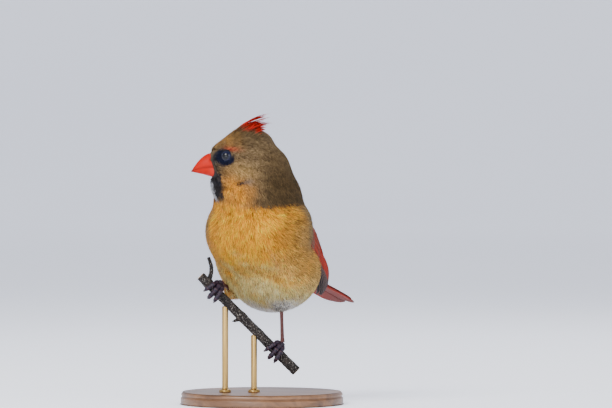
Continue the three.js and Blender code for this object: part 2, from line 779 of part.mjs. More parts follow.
const coatRoom = ballOn(body, vec(0, 2, 96), 7, GAP);
const hips = { left: inView(12, 84, 2), right: inView(-13, 86, 12) };
for (const [side, foot] of Object.entries(FEET)) {
  const thigh = makeThigh(foot, hips[side]).subtract(coatRoom).subtract(makeShank(foot, GAP));
  add(`thigh_${side}`, largest(thigh), BUFF);
  add(`shank_${side}`, largest(makeShank(foot).subtract(coatRoom)), LEG_BROWN);
  add(`foot_${side}`, makeFoot(foot), LEG_BROWN);
  for (const [name, toe] of Object.entries(TOES))
    add(`claw_${side}_${name}`, makeClaw(foot, toe), CLAW_DARK);
}

add("perch", makePerch(), BARK);
add("stand_base", makeBase(), WALNUT);
add("stand_rod_short", makeRod(48), BRASS);
add("stand_rod_tall", makeRod(22), BRASS);

export default group;
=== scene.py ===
import math

import bpy
import numpy as np
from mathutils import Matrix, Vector


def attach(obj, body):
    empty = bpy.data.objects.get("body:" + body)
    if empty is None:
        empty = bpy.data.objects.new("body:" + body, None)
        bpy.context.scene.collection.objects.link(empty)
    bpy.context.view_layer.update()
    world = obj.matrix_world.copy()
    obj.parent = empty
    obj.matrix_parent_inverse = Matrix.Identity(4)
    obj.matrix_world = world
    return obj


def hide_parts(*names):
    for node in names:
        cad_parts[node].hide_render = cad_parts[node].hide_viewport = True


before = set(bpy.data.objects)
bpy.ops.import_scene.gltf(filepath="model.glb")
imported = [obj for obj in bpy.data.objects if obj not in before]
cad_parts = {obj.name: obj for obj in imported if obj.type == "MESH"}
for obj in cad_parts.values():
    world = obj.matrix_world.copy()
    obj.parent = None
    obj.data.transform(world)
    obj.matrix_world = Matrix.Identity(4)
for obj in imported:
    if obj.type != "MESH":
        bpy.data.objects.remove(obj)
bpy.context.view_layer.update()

bl_info = {
    "name": "Perched female cardinal",
    "version": (1, 0, 0),
    "blender": (4, 5, 0),
    "location": "3D view > sidebar > Cardinal",
    "description": "Dresses the solids of a perched female cardinal with skin, feathers, bill, eyes, legs, "
                   "branch and stand",
    "category": "Object",
}

# Millimetres, +Z up, in the solids' own frame. The bird faces -Y and its left is +X.
PER_METRE = 1000
FULL_TURN = 2 * math.pi
VIEW_TURN = math.radians(25)
HEAD_TURN = math.radians(58)
TAIL_PITCH = math.radians(16)
TAIL_TURN = math.radians(4.5)
BRANCH_RADIUS = 3.0
TOE_RADIUS = 1.2
TARSUS_RADIUS = 1.25
CLAW_LENGTH = 5.5
EYE_RADIUS = 3.5
EYEBALL = EYE_RADIUS + 0.45  # full enough to fill the lids
GAP = 0.35  # between a toe and the bark
UP = np.array([0.0, 0.0, 1.0])
TO_VIEWER = np.array([math.sin(VIEW_TURN), -math.cos(VIEW_TURN), 0.0])
VIEW_RIGHT = np.array([math.cos(VIEW_TURN), math.sin(VIEW_TURN), 0.0])


def unit(v):
    """A vector, or each row of vectors, divided by its length."""
    v = np.asarray(v, float)
    return v / np.maximum(np.linalg.norm(v, axis=-1, keepdims=True), 1e-9)


def in_view(across, up, away):
    """A point given as it is seen: across the view, up, and away from the viewer."""
    return VIEW_RIGHT * across - TO_VIEWER * away + UP * up


HEAD_CENTRE = np.array([-4.2, -26.4, 156.0])
HEAD_FORWARD = np.array([-math.sin(HEAD_TURN), -math.cos(HEAD_TURN), 0.0])
HEAD_LEFT = np.array([math.cos(HEAD_TURN), -math.sin(HEAD_TURN), 0.0])


def in_head(forward, left, up):
    """A point given as forward, left and up from the head's centre."""
    forward, left, up = np.broadcast_arrays(forward, left, up)
    return (HEAD_CENTRE + forward[..., None] * HEAD_FORWARD + left[..., None] * HEAD_LEFT
            + up[..., None] * UP)


def head_place(p):
    """Forward, left and up of points, measured from the head's centre."""
    q = p - HEAD_CENTRE
    return q @ HEAD_FORWARD, q @ HEAD_LEFT, q[..., 2]


def ease(x, low, high):
    """A smooth step from 0 at low to 1 at high."""
    t = np.clip((x - low) / (high - low), 0, 1)
    return t * t * (3 - 2 * t)


def nearest(p, places):
    """Distance from points to the nearer of two places."""
    return np.minimum(*[np.linalg.norm(p - place, axis=-1) for place in places])


# The body's form: eggs that melt into each other

def egg(centre, half, pitch=0.0, forward=(0.0, -1.0, 0.0)):
    """An egg with half sizes across, forward and up, its front raised by a pitch."""
    forward = np.asarray(forward, float)
    left = -np.cross(forward, UP)
    ahead = forward * math.cos(pitch) + np.cross(left, forward) * math.sin(-pitch)
    return np.asarray(centre, float), np.array([left, ahead, np.cross(left, ahead)]), np.asarray(half, float)


def egg_distance(shape, p):
    """Near distance to an egg: k(k-1) over the slope of k, where k is the point's share of the half sizes."""
    centre, axes, half = shape
    q = (p - centre) @ axes.T
    inner = np.linalg.norm(q / half, axis=-1)
    return inner * (inner - 1) / np.maximum(np.linalg.norm(q / half ** 2, axis=-1), 1e-9)


def melted(eggs, soft, p):
    """The least of the distances to several eggs, with the seams between them softened."""
    least = np.full(p.shape[:-1], 1e6)
    for shape in eggs:
        d = egg_distance(shape, p)
        share = np.maximum(soft - np.abs(least - d), 0) / soft
        least = np.minimum(least, d) - share * share * soft / 4
    return least


FLESH_EGGS = [
    egg((2, -9, 110), (35, 31, 29.5), 0.3),
    egg((3.5, 10, 88.5), (31.5, 31, 30.5)),
    egg((1.5, 14, 103), (27, 30, 21), 0.3),
    egg((1.5, 36, 87), (13, 25, 11), 0.26),
    egg((13, -3, 114), (20, 24, 19)),
    egg((-9, -3, 114), (20, 24, 19)),
    egg((18.9, -4.7, 92), (14, 13, 17)),
    egg((-14.9, -4.7, 92), (14, 13, 17)),
    egg((2.8, -12, 133), (28, 28, 22)),
    egg((2, 12, 122), (19, 16.5, 15)),
    egg(in_head(-2.5, 0, 0.5), (16, 19.5, 17), 0, HEAD_FORWARD),
    egg(in_head(-4.0, 0, 17.6), (5.2, 9.5, 4.6), -0.6, HEAD_FORWARD),
    egg(in_head(-12, 0, 10.5), (8, 9.4, 7.6), -0.3, HEAD_FORWARD),
    egg(in_head(-15.5, 0, -9.5), (18, 18, 20), 0.3, HEAD_FORWARD),
    egg(in_head(11, 0, -1), (8, 8, 9), 0, HEAD_FORWARD),
    egg(in_head(9, 0, -15.5), (8, 8.5, 9), 0, HEAD_FORWARD),
]
BED_EGGS = [
    egg((1.5, -6, 104), (28.5, 26, 26), 0.35),
    egg((1.5, 12, 98), (28.5, 32, 26), 0.3),
    egg((1.5, 26, 87), (26.5, 46, 20), 0.26),
]


# How softly the eggs of the coat and of the wings' bed run into each other, in millimetres
COAT_MELT = 7.0
BED_MELT = 6.0
HALVINGS = 26  # leaves a millionth of a millimetre


def cast(field, start, way, reach, level=0.0):
    """Where rays first reach a level of a field, by halving the whole set of them again and again."""
    near = np.zeros(way.shape[:-1])
    far = np.full(way.shape[:-1], float(reach))
    for _ in range(HALVINGS):
        middle = (near + far) / 2
        inside = field(start + way * middle[..., None]) < level
        near, far = np.where(inside, middle, near), np.where(inside, far, middle)
    return start + way * ((near + far) / 2)[..., None]


# The legs, branch and feet stand where the solids have them

PERCH_TOP = in_view(-39, 82.2, -10)
PERCH_END = in_view(22, 21.4, -10)
PERCH_WAY = unit(PERCH_END - PERCH_TOP)
PERCH_OVER = -np.cross(TO_VIEWER, PERCH_WAY)
PERCH_OVER = PERCH_OVER * np.sign(PERCH_OVER[2])
PERCH_LENGTH = float(np.linalg.norm(PERCH_END - PERCH_TOP))
# Each foot's place along the branch, the lean of its ankle, and its heel and hip as they are seen
FEET = {
    "left": {"run": 66.8, "lean": 0.6, "heel": in_view(12.4, 64, -7), "hip": in_view(12, 84, 2)},
    "right": {"run": 12.5, "lean": -0.6, "heel": in_view(-19.5, 72, 9), "hip": in_view(-13, 86, 12)},
}
# The turns round the branch from its top where a toe starts and ends, its start and its fan along the branch, how far
# its end stands off, and its girth.
TOES = {
    "inner": (-8, 128, -1.9, -2.2, 1.2, 1.0),
    "middle": (-4, 152, 0, 0.8, 1.9, 1.12),
    "outer": (-8, 138, 1.9, 3.0, 1.5, 1.04),
    "hind": (-6, -140, 0.4, 0.8, 0.8, 1.02),
}


def on_perch(run):
    """The branch's middle line at a run from its upper end."""
    return PERCH_TOP + np.asarray(run, float)[..., None] * PERCH_WAY


def ankle(foot):
    """The middle of the ankle, over the branch."""
    return (on_perch(foot["run"] + foot["lean"]) + PERCH_OVER * (BRANCH_RADIUS + TOE_RADIUS * 2 + 0.9)
            - TO_VIEWER * 0.4)


def leg_axes(foot):
    """The way up a leg from its heel, and the two ways across it."""
    way = unit(foot["hip"] - foot["heel"])
    side = unit(np.cross(way, TO_VIEWER))
    return way, side, np.cross(way, side)


def leg_eggs():
    """The feathered thighs: three eggs from the hip down to the heel, each along that line."""
    eggs = []
    for foot in FEET.values():
        way, side, over = leg_axes(foot)
        for share, half in ((0.75, (8, 8, 9)), (0.38, (6, 6, 7.5)), (0.05, (3.3, 3.3, 5.2))):
            middle = foot["heel"] + (foot["hip"] - foot["heel"]) * share
            eggs.append((middle, np.array([side, over, way]), np.asarray(half, float)))
    return eggs


COAT_EGGS = FLESH_EGGS + leg_eggs()


def body(p):
    """Distance to the outside of the coat, over the whole body."""
    return melted(COAT_EGGS, COAT_MELT, p)


def slope(p):
    """The way out of the body at points: how its field changes over a small step along each axis."""
    return unit(np.stack([body(p + step) - body(p - step) for step in np.eye(3) * 0.2], -1))


def coat_depth(p):
    """How deep the skin lies under the coat: thin at the face and legs, deep on the breast and belly."""
    f, l, u = head_place(p)
    face = np.exp(-((f - 17) ** 2 + (l * 0.9) ** 2 + (u + 2) ** 2) / 90)
    eye = nearest(p, EYE_PLACE)
    depth = 2.4 - 0.9 * ease(p[..., 2], 126, 150) - 1.1 * face
    return np.clip(depth - 1.2 * (1 - ease(eye, 4, 9)), 0.35, None)


# Crest feathers, a row for each on either side: root forward and up, tip forward and up, distance from the middle,
# and half width
CREST = [
    (2, 19, -18.9, 29.4, 0.3, 2.2), (0, 18, -19.5, 27, 2.6, 2.4), (-4, 17.5, -21, 23.6, 3.8, 2.4),
    (-7, 15, -18.5, 20.8, 3.6, 2.4), (-8, 13, -17, 17.6, 3, 2.4),
]

# Eyes: they look out and a little forward, and stand out by their radius less 2.5
EYE_OUT = [unit(HEAD_LEFT * side * 0.9 + HEAD_FORWARD * 0.42) for side in (1, -1)]


def flesh_only(p):
    """The body without the thighs, which the solids' eyes and wings were set on."""
    return melted(FLESH_EGGS, COAT_MELT, p)


EYE_PLACE = [cast(flesh_only, in_head(3.2, 0, 2.8), out, 40) - out * 2.5 for out in EYE_OUT]

# Wings: a run back along the wing, a turn down from the back, and a height over its bed

WING_START = np.array([1.5, -22, 110.0])
WING_WAY = unit(np.array([0, 79, -36.0]))
WING_OVER = np.array([0, -WING_WAY[2], WING_WAY[1]])


def wing_bed(p):
    """Distance to the bed that the folded wings lie on."""
    return melted(BED_EGGS, BED_MELT, p)


def on_wing(side, run, turn, height):
    """Points over the bed: the ray at a turn from the back, out to the bed and then up by the height."""
    run, turn, height = np.broadcast_arrays(run, turn, height)
    start = WING_START + run[..., None] * WING_WAY
    angle = np.radians(turn)[..., None]
    way = np.cos(angle) * WING_OVER + np.sin(angle) * np.array([side, 0, 0.0])
    return cast(wing_bed, start, way, 60, height)


def in_wing(p, margin=0.0, inner=0.0):
    """True for points within either folded wing's outline, shrunk by a margin in degrees and millimetres.

    The inner edge, near the back, can be shrunk further.
    """
    q = p - WING_START
    run = q @ WING_WAY
    turn = np.degrees(np.arctan2(np.abs(q[..., 0]), q @ WING_OVER))
    # the upper edge slopes down behind a run of 50; the lower one sinks from 74 degrees at the shoulder to 122
    low = 26 + np.maximum(0, run - 50) * 1.6 + margin + inner
    high = 74 + 48 * np.clip((run - 12) / 42, 0, 1) - margin
    return (run > 12 + margin) & (run < 90) & (turn > low) & (turn < high)


def skin_field(p):
    """Distance to the bare skin: the coat's outside less its depth, and under the wing's bed there."""
    flesh = body(p) + coat_depth(p)
    return np.where(in_wing(p), np.maximum(flesh, wing_bed(p) + 0.8), flesh)


# Colours

def linear(colour):
    """A hex sRGB colour, or a property's colour, as linear red, green and blue."""
    if not isinstance(colour, str):
        return np.array(colour[:3])
    c = np.array([int(colour[i:i + 2], 16) for i in (0, 2, 4)]) / 255
    return np.where(c <= 0.04045, c / 12.92, ((c + 0.055) / 1.055) ** 2.4)


def wobble(p, size, seed=0):
    """Soft noise from -1 to 1 in patches of a size in millimetres: three crossed sines per octave."""
    rng = np.random.RandomState(seed)
    total = 0
    for octave in range(3):
        turns = rng.normal(size=(3, 3)) * (2 ** octave) * 2.4 / size
        phase = rng.uniform(0, 6.28, 3)
        total = total + np.prod(np.sin(p @ turns + phase), -1) / (1.4 ** octave)
    return total


def plain(colour, shape):
    """One colour at every point of an array of points."""
    return np.broadcast_to(linear(colour), (*shape, 3))


def mix(base, colour, share):
    """Moves colours towards another by a share at each point."""
    return base + (linear(colour) - base) * np.clip(share, 0, 1)[..., None]


def blob(x, y, wide, tall):
    """A soft oval spot: 1 at its middle, falling off as the exponential of the squared distance in its half sizes."""
    return np.exp(-((x / wide) ** 2 + (y / tall) ** 2))


def markings(p, coat):
    """The bird's colour at points: each marking is a smooth patch in the head's or the body's own frame."""
    f, l, u = head_place(p)
    side = np.abs(l)
    z = p[..., 2]
    across = p @ VIEW_RIGHT
    patchy = wobble(p, 14, 3)
    fine = wobble(p, 5, 4)
    colour = plain(coat.breast, p.shape[:-1])
    # the belly is paler towards the middle and greyish cream underneath
    colour = mix(colour, coat.belly, ease(107 - z + patchy * 8, 0, 38) * 0.9)
    colour = mix(colour, coat.vent, ease(74 - z + patchy * 3, 0, 11) * 0.85)
    flank = ease(np.abs(p[..., 0] - 2) + patchy * 4, 14, 30)
    colour = mix(colour, coat.flank, flank * 0.85 * ease(z, 66, 86))
    shoulder = ease(np.where(across > 1, across - 1, (1 - across) * 0.62) + patchy * 3, 13, 26) * ease(z, 96, 116)
    colour = mix(colour, coat.shoulder, shoulder * 0.85)
    mantle = ease(np.abs(p[..., 0] - 2), 8, 17) * ease(p[..., 1], -15, -4) * ease(z, 96, 108)
    colour = mix(colour, coat.back, mantle)
    # grey down shows where the breast feathers part, and over the right heel
    parting = np.exp(-((across - 1.8 + (z - 107) * 0.45) / 1.1) ** 2) * ease(z, 90, 95) * ease(108.5 - z, 0, 2)
    colour = mix(colour, coat.down, parting * 0.5 * (0.7 + 0.5 * fine))
    heel = np.linalg.norm(p - FEET["right"]["heel"] - [4, -3, 8], axis=-1)
    colour = mix(colour, "C9C6C2", (1 - ease(heel, 2, 6)) * 0.6)
    colour = mix(colour, coat.back, ease(p[..., 1] + (z - 100) * 0.45 + patchy * 2, 3, 19) * ease(z, 80, 92))
    # the hood and its parts
    collar = 130.6 + fine * 0.7 + 4 * ease(-across, 11, 24)
    hood = ease(z - collar, -1.2, 1.4)
    colour = mix(colour, coat.hood, hood)
    cheek = blob(f - 4.2 - 0.15 * (u + 14), u + 17, 8.4, 9.5) * ease(side, 2, 8)
    colour = mix(colour, coat.cheek, np.clip(hood * cheek * 1.2 * (0.85 + 0.3 * fine), 0, 0.95))
    face = blob(f - 1, u + 5.5, 7.5, 4.2) * ease(side, 6, 10)
    colour = mix(colour, coat.face, hood * face * 0.8)
    nape = ease(-f, 6, 20) * ease(-u, -14, 12)
    colour = mix(colour, coat.nape, hood * nape * 0.85)
    forehead = ease(f, -4, 10) * ease(u, 5, 9)
    colour = mix(colour, coat.forehead, forehead * (0.65 + 0.3 * fine))
    brow = blob(f - 7.2, u - 7.2, 4.8, 1.2) * ease(side, 5, 9)
    colour = mix(colour, coat.brow, brow * 0.9)
    colour = mix(colour, coat.crest, ease(u + fine, 17.6, 20.6) * ease(-f, 0, 5))
    # the mask round the bill, through the lores to the eye and down the throat
    bill = np.exp(-(((f - 16.4) / 4.6) ** 2 + (side / 11.5) ** 2 + ((u + 3.8) / 9.4) ** 2) * 1.1) * ease(8.2 - u, 0, 3)
    lore = np.exp(-(((f - 11) / 5.6) ** 2 + ((u - 2.6) / 4.2) ** 2) ** 1.5) * ease(side, 3, 7)
    front = np.degrees(np.arctan2(side, f - 2)) + fine * 3
    throat = (1 - ease(front, 32, 39)) * ease(-u, 6, 9) * ease(22 + u + fine * 1.5, 0, 3)
    mask = np.clip(bill * 1.2 + lore * 1.3 + throat, 0, 1) * (0.94 + 0.06 * fine)
    colour = mix(colour, coat.mask, mask * ease(z, 128, 132))
    chin = throat * ease(-u, 11, 14) * (1 - ease(front, 6, 14))
    colour = mix(colour, coat.chin, chin * 0.85)
    # the dark ring round the eye, partly the short feathers' own blue black and partly painted shade there; painted
    # shade in the crease over the ear; and the pale spot behind it
    ring = ((f - 10.6) / 5.7) ** 2 + ((u - 1.9) / 4.6) ** 2 + 0.12 * fine
    colour = mix(colour, coat.ring, (1 - ease(ring, 0.72, 1.12)) * ease(side, 5, 8))
    # painted shade: a dark line in the crease of the ear coverts
    ear_crease_shade = blob(f - 0.8, u + 12.7 + 0.42 * (f - 0.8), 3.3, 1.1) * ease(side, 8, 12)
    colour = mix(colour, coat.mask, ear_crease_shade * 1.3)
    spot = blob(f + 3.8, u + 11.2, 2.4, 1.7) * ease(side, 8, 12)
    colour = mix(colour, coat.down, spot * 0.6)
    return colour * (1 + 0.06 * fine)[..., None]


# Meshes

def put_mesh(name, points, faces, make, slot, nodes=(), tint=None, uv=None, uv_name="UVMap"):
    """Makes a piece at the origin from points in millimetres, arrays of faces and the function of its material."""
    mesh = bpy.data.meshes.new(name)
    points = np.ascontiguousarray(points, float).reshape(-1, 3)
    counts = np.concatenate([np.full(len(f), f.shape[1]) for f in faces]).astype(np.int32)
    loops = np.concatenate([f.ravel() for f in faces]).astype(np.int32)
    mesh.vertices.add(len(points))
    mesh.vertices.foreach_set("co", (points / PER_METRE).ravel())
    mesh.loops.add(len(loops))
    mesh.loops.foreach_set("vertex_index", loops)
    mesh.polygons.add(len(counts))
    mesh.polygons.foreach_set("loop_start", np.concatenate([[0], np.cumsum(counts)[:-1]]).astype(np.int32))
    mesh.polygons.foreach_set("loop_total", counts)
    mesh.update(calc_edges=True)
    if uv is not None:
        layer = mesh.uv_layers.new(name=uv_name)
        layer.data.foreach_set("uv", np.asarray(uv, float).reshape(-1, 2)[loops].ravel())
    if tint is not None:
        layer = mesh.color_attributes.new("Tint", "FLOAT_COLOR", "POINT")
        rgba = np.ones((len(points), 4))
        rgba[:, :3] = np.clip(np.asarray(tint).reshape(-1, 3), 0, 1)
        layer.data.foreach_set("color", rgba.ravel())
    mesh.shade_smooth()
    mesh.materials.append(finish_of(make))
    piece = bpy.data.objects.new(name, mesh)
    bpy.context.scene.collection.objects.link(piece)
    if slot:
        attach(piece, "root")
    if nodes:
        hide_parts(*nodes)
    return piece


def grid_faces(rows, columns, closed=False, start=0):
    """Quads over a grid of points, joined round its columns if closed."""
    i, j = np.meshgrid(np.arange(rows - 1), np.arange(columns if closed else columns - 1), indexing="ij")
    k = (j + 1) % columns
    a, b = i * columns + j, i * columns + k
    return (np.stack([a, b, b + columns, a + columns], -1) + start).reshape(-1, 4)


def closed_rings(rows, columns):
    """Faces of a form of closed rings: quads between them, and a fan at each end to the two points that follow."""
    j = np.arange(columns)
    k = (j + 1) % columns
    n, last = rows * columns, (rows - 1) * columns
    caps = np.concatenate([np.stack([np.full(columns, n), k, j], -1),
                           np.stack([np.full(columns, n + 1), last + j, last + k], -1)])
    return grid_faces(rows, columns, True), caps


def pipe(points, radii, sides=16, across=None, flat=1.0, ripple=None):
    """A closed round form carried along a path: rings of a radius, one point closing each end."""
    points = np.asarray(points, float)
    rows = len(points)
    radii = np.broadcast_to(radii, rows)
    along = unit(np.gradient(points, axis=0))
    first = np.asarray((0.31, 0.17, 0.93) if across is None else across, float)
    side = unit(first - along * (along @ first)[:, None])
    other = np.cross(along, side)
    angle = np.linspace(0, FULL_TURN, sides, endpoint=False)
    size = radii[:, None] * (1 if ripple is None else ripple(np.arange(rows)[:, None], angle))
    ring = (points[:, None] + side[:, None] * (size * np.cos(angle))[..., None]
            + other[:, None] * (flat * size * np.sin(angle))[..., None])
    uv = np.stack([np.tile(np.arange(sides) / sides, rows), np.repeat(np.linspace(0, 1, rows), sides)], -1)
    return (np.concatenate([ring.reshape(-1, 3), points[:1], points[-1:]]), *closed_rings(rows, sides),
            np.concatenate([uv, [[0.5, 0], [0.5, 1]]]))


def joined(parts):
    """Several shapes of points, quads, triangles and UVs as one set of arrays."""
    starts = np.cumsum([0] + [len(part[0]) for part in parts])
    points, uv = (np.concatenate([part[k] for part in parts]) for k in (0, 3))
    faces = [np.concatenate([part[k] + start for part, start in zip(parts, starts)]) for k in (1, 2)]
    return points, faces, uv


def put_pipes(name, parts, make, slot, nodes=(), tint=None, mapped=True):
    """Joins pipes into one piece, with their own map of the surface if it is wanted."""
    points, faces, uv = joined(parts)
    put_mesh(name, points, faces, make, slot, nodes, tint, uv if mapped else None)


def smooth_path(points, count):
    """A path through points by Catmull and Rom's cubic, at evenly spaced counts."""
    p = np.asarray(points, float)
    p = np.concatenate([2 * p[:1] - p[1:2], p, 2 * p[-1:] - p[-2:-1]])
    s = np.linspace(0, len(p) - 3 - 1e-6, count)
    i = s.astype(int)
    t = (s - i)[:, None]
    a, b, c, d = p[i], p[i + 1], p[i + 2], p[i + 3]
    return 0.5 * (2 * b + (c - a) * t + (2 * a - 5 * b + 4 * c - d) * t ** 2 + (3 * b - a - 3 * c + d) * t ** 3)


# Materials

def node(tree, kind, links=None, values=None, stops=(), to=None, **settings):
    """Adds a node with its settings, input values, ramp stops, its links, and a link on from its first output."""
    new = tree.nodes.new(kind)
    for key, value in settings.items():
        setattr(new, key, value)
    for key, value in (values or {}).items():
        new.inputs[key].default_value = value
    for key, source in (links or {}).items():
        tree.links.new(source, new.inputs[key])
    for number, (place, colour) in enumerate(stops):
        elements = new.color_ramp.elements
        element = elements[number] if number < len(elements) else elements.new(place)
        element.position, element.color = place, (*linear(colour), 1)
    if to:
        tree.links.new(new.outputs[0], to)
    return new


def new_material(name, colour="808080", roughness=0.6, **values):
    """A material with its node tree and its shader."""
    material = bpy.data.materials.new(name)
    material.use_nodes = True
    tree = material.node_tree
    shader = tree.nodes["Principled BSDF"]
    shader.inputs["Base Color"].default_value = (*linear(colour), 1)
    shader.inputs["Roughness"].default_value = roughness
    for key, value in values.items():
        shader.inputs[key.replace("_", " ")].default_value = value
    return material, tree, shader


def own_colour(tree, shader, pattern, tones):
    """Gives the surface each point's own colour, lightened and darkened by a pattern over a range of tones."""
    tint = node(tree, "ShaderNodeAttribute", attribute_name="Tint")
    tone = node(tree, "ShaderNodeMapRange", {"Value": pattern}, tones)
    node(tree, "ShaderNodeVectorMath", {0: tint.outputs["Color"], 1: tone.outputs["Result"]},
         operation="MULTIPLY", to=shader.inputs["Base Color"])


def patterned(name, colour, roughness, scale, detail, tones=None, stops=(), relief=None, rough=None, stretch=None,
              **values):
    """A material that follows one noise pattern, whose scale is in patches to the metre.

    tones is the range by which it changes each point's own colour; stops are the plain colours it runs through if
    there are no tones. relief is the bump's height in metres and its strength, rough a range of roughness, and
    stretch the pattern's scale on each axis.
    """
    material, tree, shader = new_material(name, colour, roughness, **values)
    place = node(tree, "ShaderNodeTexCoord").outputs["Object"]
    if stretch:
        place = node(tree, "ShaderNodeMapping", {"Vector": place}, {"Scale": stretch}).outputs["Vector"]
    pattern = node(tree, "ShaderNodeTexNoise", {"Vector": place}, {"Scale": scale, "Detail": detail}).outputs["Fac"]
    if tones:
        own_colour(tree, shader, pattern, {"To Min": tones[0], "To Max": tones[1]})
    else:
        node(tree, "ShaderNodeValToRGB", {"Fac": pattern}, stops=stops, to=shader.inputs["Base Color"])
    if relief:
        node(tree, "ShaderNodeBump", {"Height": pattern}, {"Distance": relief[0], "Strength": relief[1]},
             to=shader.inputs["Normal"])
    if rough:
        node(tree, "ShaderNodeMapRange", {"Value": pattern}, {"To Min": rough[0], "To Max": rough[1]},
             to=shader.inputs["Roughness"])
    return material


def coat_barbs():
    """Downy feather barbs: soft and quite matt, in each point's own colour, its strands differing in tone."""
    return patterned("downy_feather_barbs", "808080", 0.7, 1600.0, 2.0, tones=(0.8, 1.2), Specular_IOR_Level=0.1)


def vane_keratin():
    """Flight feather vanes: smooth zipped barbs with hardly a sheen and fine slanting lines 0.5 mm apart."""
    material, tree, shader = new_material("zipped_feather_vane", roughness=0.62, Specular_IOR_Level=0.07)
    where = node(tree, "ShaderNodeUVMap", uv_map="UVMap")
    apart = node(tree, "ShaderNodeSeparateXYZ", {"Vector": where.outputs["UV"]})
    # barbs leave the shaft at a slant: a line is where run less distance from the shaft is the same
    off = node(tree, "ShaderNodeMath", {0: apart.outputs["X"]}, operation="ABSOLUTE")
    line = node(tree, "ShaderNodeMath", {0: apart.outputs["Y"], 1: off.outputs["Value"]}, operation="SUBTRACT")
    wave = node(tree, "ShaderNodeMath", {0: line.outputs["Value"]}, {1: FULL_TURN / 0.5}, operation="MULTIPLY")
    wave = node(tree, "ShaderNodeMath", {0: wave.outputs["Value"]}, operation="SINE").outputs["Value"]
    own_colour(tree, shader, wave, {"From Min": -1.0, "To Min": 0.86, "To Max": 1.08})
    node(tree, "ShaderNodeBump", {"Height": wave}, {"Distance": 0.00003, "Strength": 0.6}, to=shader.inputs["Normal"])
    return material


def bill_horn():
    """The bill's horn sheath: smooth, waxy, orange-red, with a fine uneven surface and a dusky tip."""
    return patterned("bill_horn_sheath", "A41200", 0.45, 420.0, 4.0, tones=(0.86, 1.12), relief=(0.00006, 0.5),
                     Specular_IOR_Level=0.1)


def wet_eye():
    """The wet eye: a black pupil in a blue-black iris, glossy as glass."""
    material, tree, shader = new_material("wet_dark_eye", "0D0B10", 0.06, Specular_IOR_Level=0.28)
    node(tree, "ShaderNodeAttribute", attribute_name="Tint", to=shader.inputs["Base Color"])
    return material


def lid_skin():
    """Bare lid skin: blackish, leathery and matt, with painted shade darkening its creases 0.4 mm apart."""
    material, tree, shader = new_material("bare_lid_skin", "16161A", 0.7, Specular_IOR_Level=0.15)
    place = node(tree, "ShaderNodeTexCoord").outputs["Object"]
    crease = node(tree, "ShaderNodeTexVoronoi", {"Vector": place}, {"Scale": 2600.0},
                  feature="DISTANCE_TO_EDGE").outputs["Distance"]
    # painted shade in the creases
    node(tree, "ShaderNodeValToRGB", {"Fac": crease}, stops=[(0.0, "08080A"), (0.22, "16161A"), (1.0, "16161A")],
         to=shader.inputs["Base Color"])
    node(tree, "ShaderNodeBump", {"Height": crease}, {"Distance": 0.00012, "Strength": 0.7},
         to=shader.inputs["Normal"])
    return material


def leg_scales():
    """Leg scutes: horny plates of a dark red brown with paler edges, satin, from each point's own colour."""
    return patterned("horny_leg_scutes", "808080", 0.45, 1100.0, 3.0, tones=(0.7, 1.25), relief=(0.00008, 0.5),
                     Specular_IOR_Level=0.25)


def claw_keratin():
    """Claws: hard dark horn, glossy, faintly mottled."""
    return patterned("dark_claw_horn", "1E171B", 0.28, 900.0, 2.0, stops=[(0.3, "17110F"), (0.7, "3A2B2C")],
                     relief=(0.00003, 0.4), Coat_Weight=0.2)


def weathered_bark():
    """Weathered twig bark: dark grey brown, rough, with pale lichen flecks under a millimetre across."""
    material, tree, shader = new_material("weathered_twig_bark", "3A332E", 0.9, Specular_IOR_Level=0.15)
    place = node(tree, "ShaderNodeTexCoord").outputs["Object"]
    grain, flecks = (
        node(tree, "ShaderNodeTexNoise", {"Vector": place},
             {"Scale": scale, "Detail": detail, "Roughness": rough}).outputs["Fac"]
        for scale, detail, rough in ((260.0, 6.0, 0.65), (1500.0, 3.0, 0.7)))
    base = node(tree, "ShaderNodeValToRGB", {"Fac": grain},
                stops=[(0.3, "0E0C0B"), (0.52, "1E1A19"), (0.75, "3A332E")]).outputs[0]
    pale = node(tree, "ShaderNodeValToRGB", {"Fac": flecks}, stops=[(0.59, "000000"), (0.68, "FFFFFF")]).outputs[0]
    # inputs 6 and 7 and output 2 are the node's colours
    mixed = node(tree, "ShaderNodeMix", {"Factor": pale, 6: base}, {7: (*linear("A39C93"), 1)}, data_type="RGBA")
    tree.links.new(mixed.outputs[2], shader.inputs["Base Color"])
    node(tree, "ShaderNodeBump", {"Height": flecks}, {"Distance": 0.0004, "Strength": 0.8},
         to=shader.inputs["Normal"])
    return material


def cut_wood():
    """The branch's sawn ends: pale dry wood, mottled and a little rough."""
    return patterned("sawn_twig_end", "B59B77", 0.8, 900.0, 4.0, stops=[(0.3, "8E7250"), (0.7, "C9B088")],
                     relief=(0.0001, 0.5))


def oiled_walnut():
    """Oiled walnut: open brown grain along X, lines about 2 mm apart, with a low oil sheen."""
    material, tree, shader = new_material("oiled_walnut", "5B3D28", 0.42, Coat_Weight=0.12, Coat_Roughness=0.3)
    place = node(tree, "ShaderNodeTexCoord").outputs["Object"]
    bands, pores = (
        node(tree, "ShaderNodeTexNoise",
             {"Vector": node(tree, "ShaderNodeMapping", {"Vector": place}, {"Scale": stretch}).outputs["Vector"]},
             values).outputs["Fac"]
        for stretch, values in (
            ((6.0, 70.0, 70.0), {"Scale": 1.2, "Detail": 8.0, "Roughness": 0.62, "Distortion": 0.8}),
            ((60.0, 900.0, 900.0), {"Scale": 1.0, "Detail": 2.0})))
    node(tree, "ShaderNodeValToRGB", {"Fac": bands},
         stops=[(0.28, "35210F"), (0.45, "5C3D24"), (0.6, "7A5535"), (0.8, "49301C")], to=shader.inputs["Base Color"])
    node(tree, "ShaderNodeBump", {"Height": pores}, {"Distance": 0.0001, "Strength": 0.35},
         to=shader.inputs["Normal"])
    return material


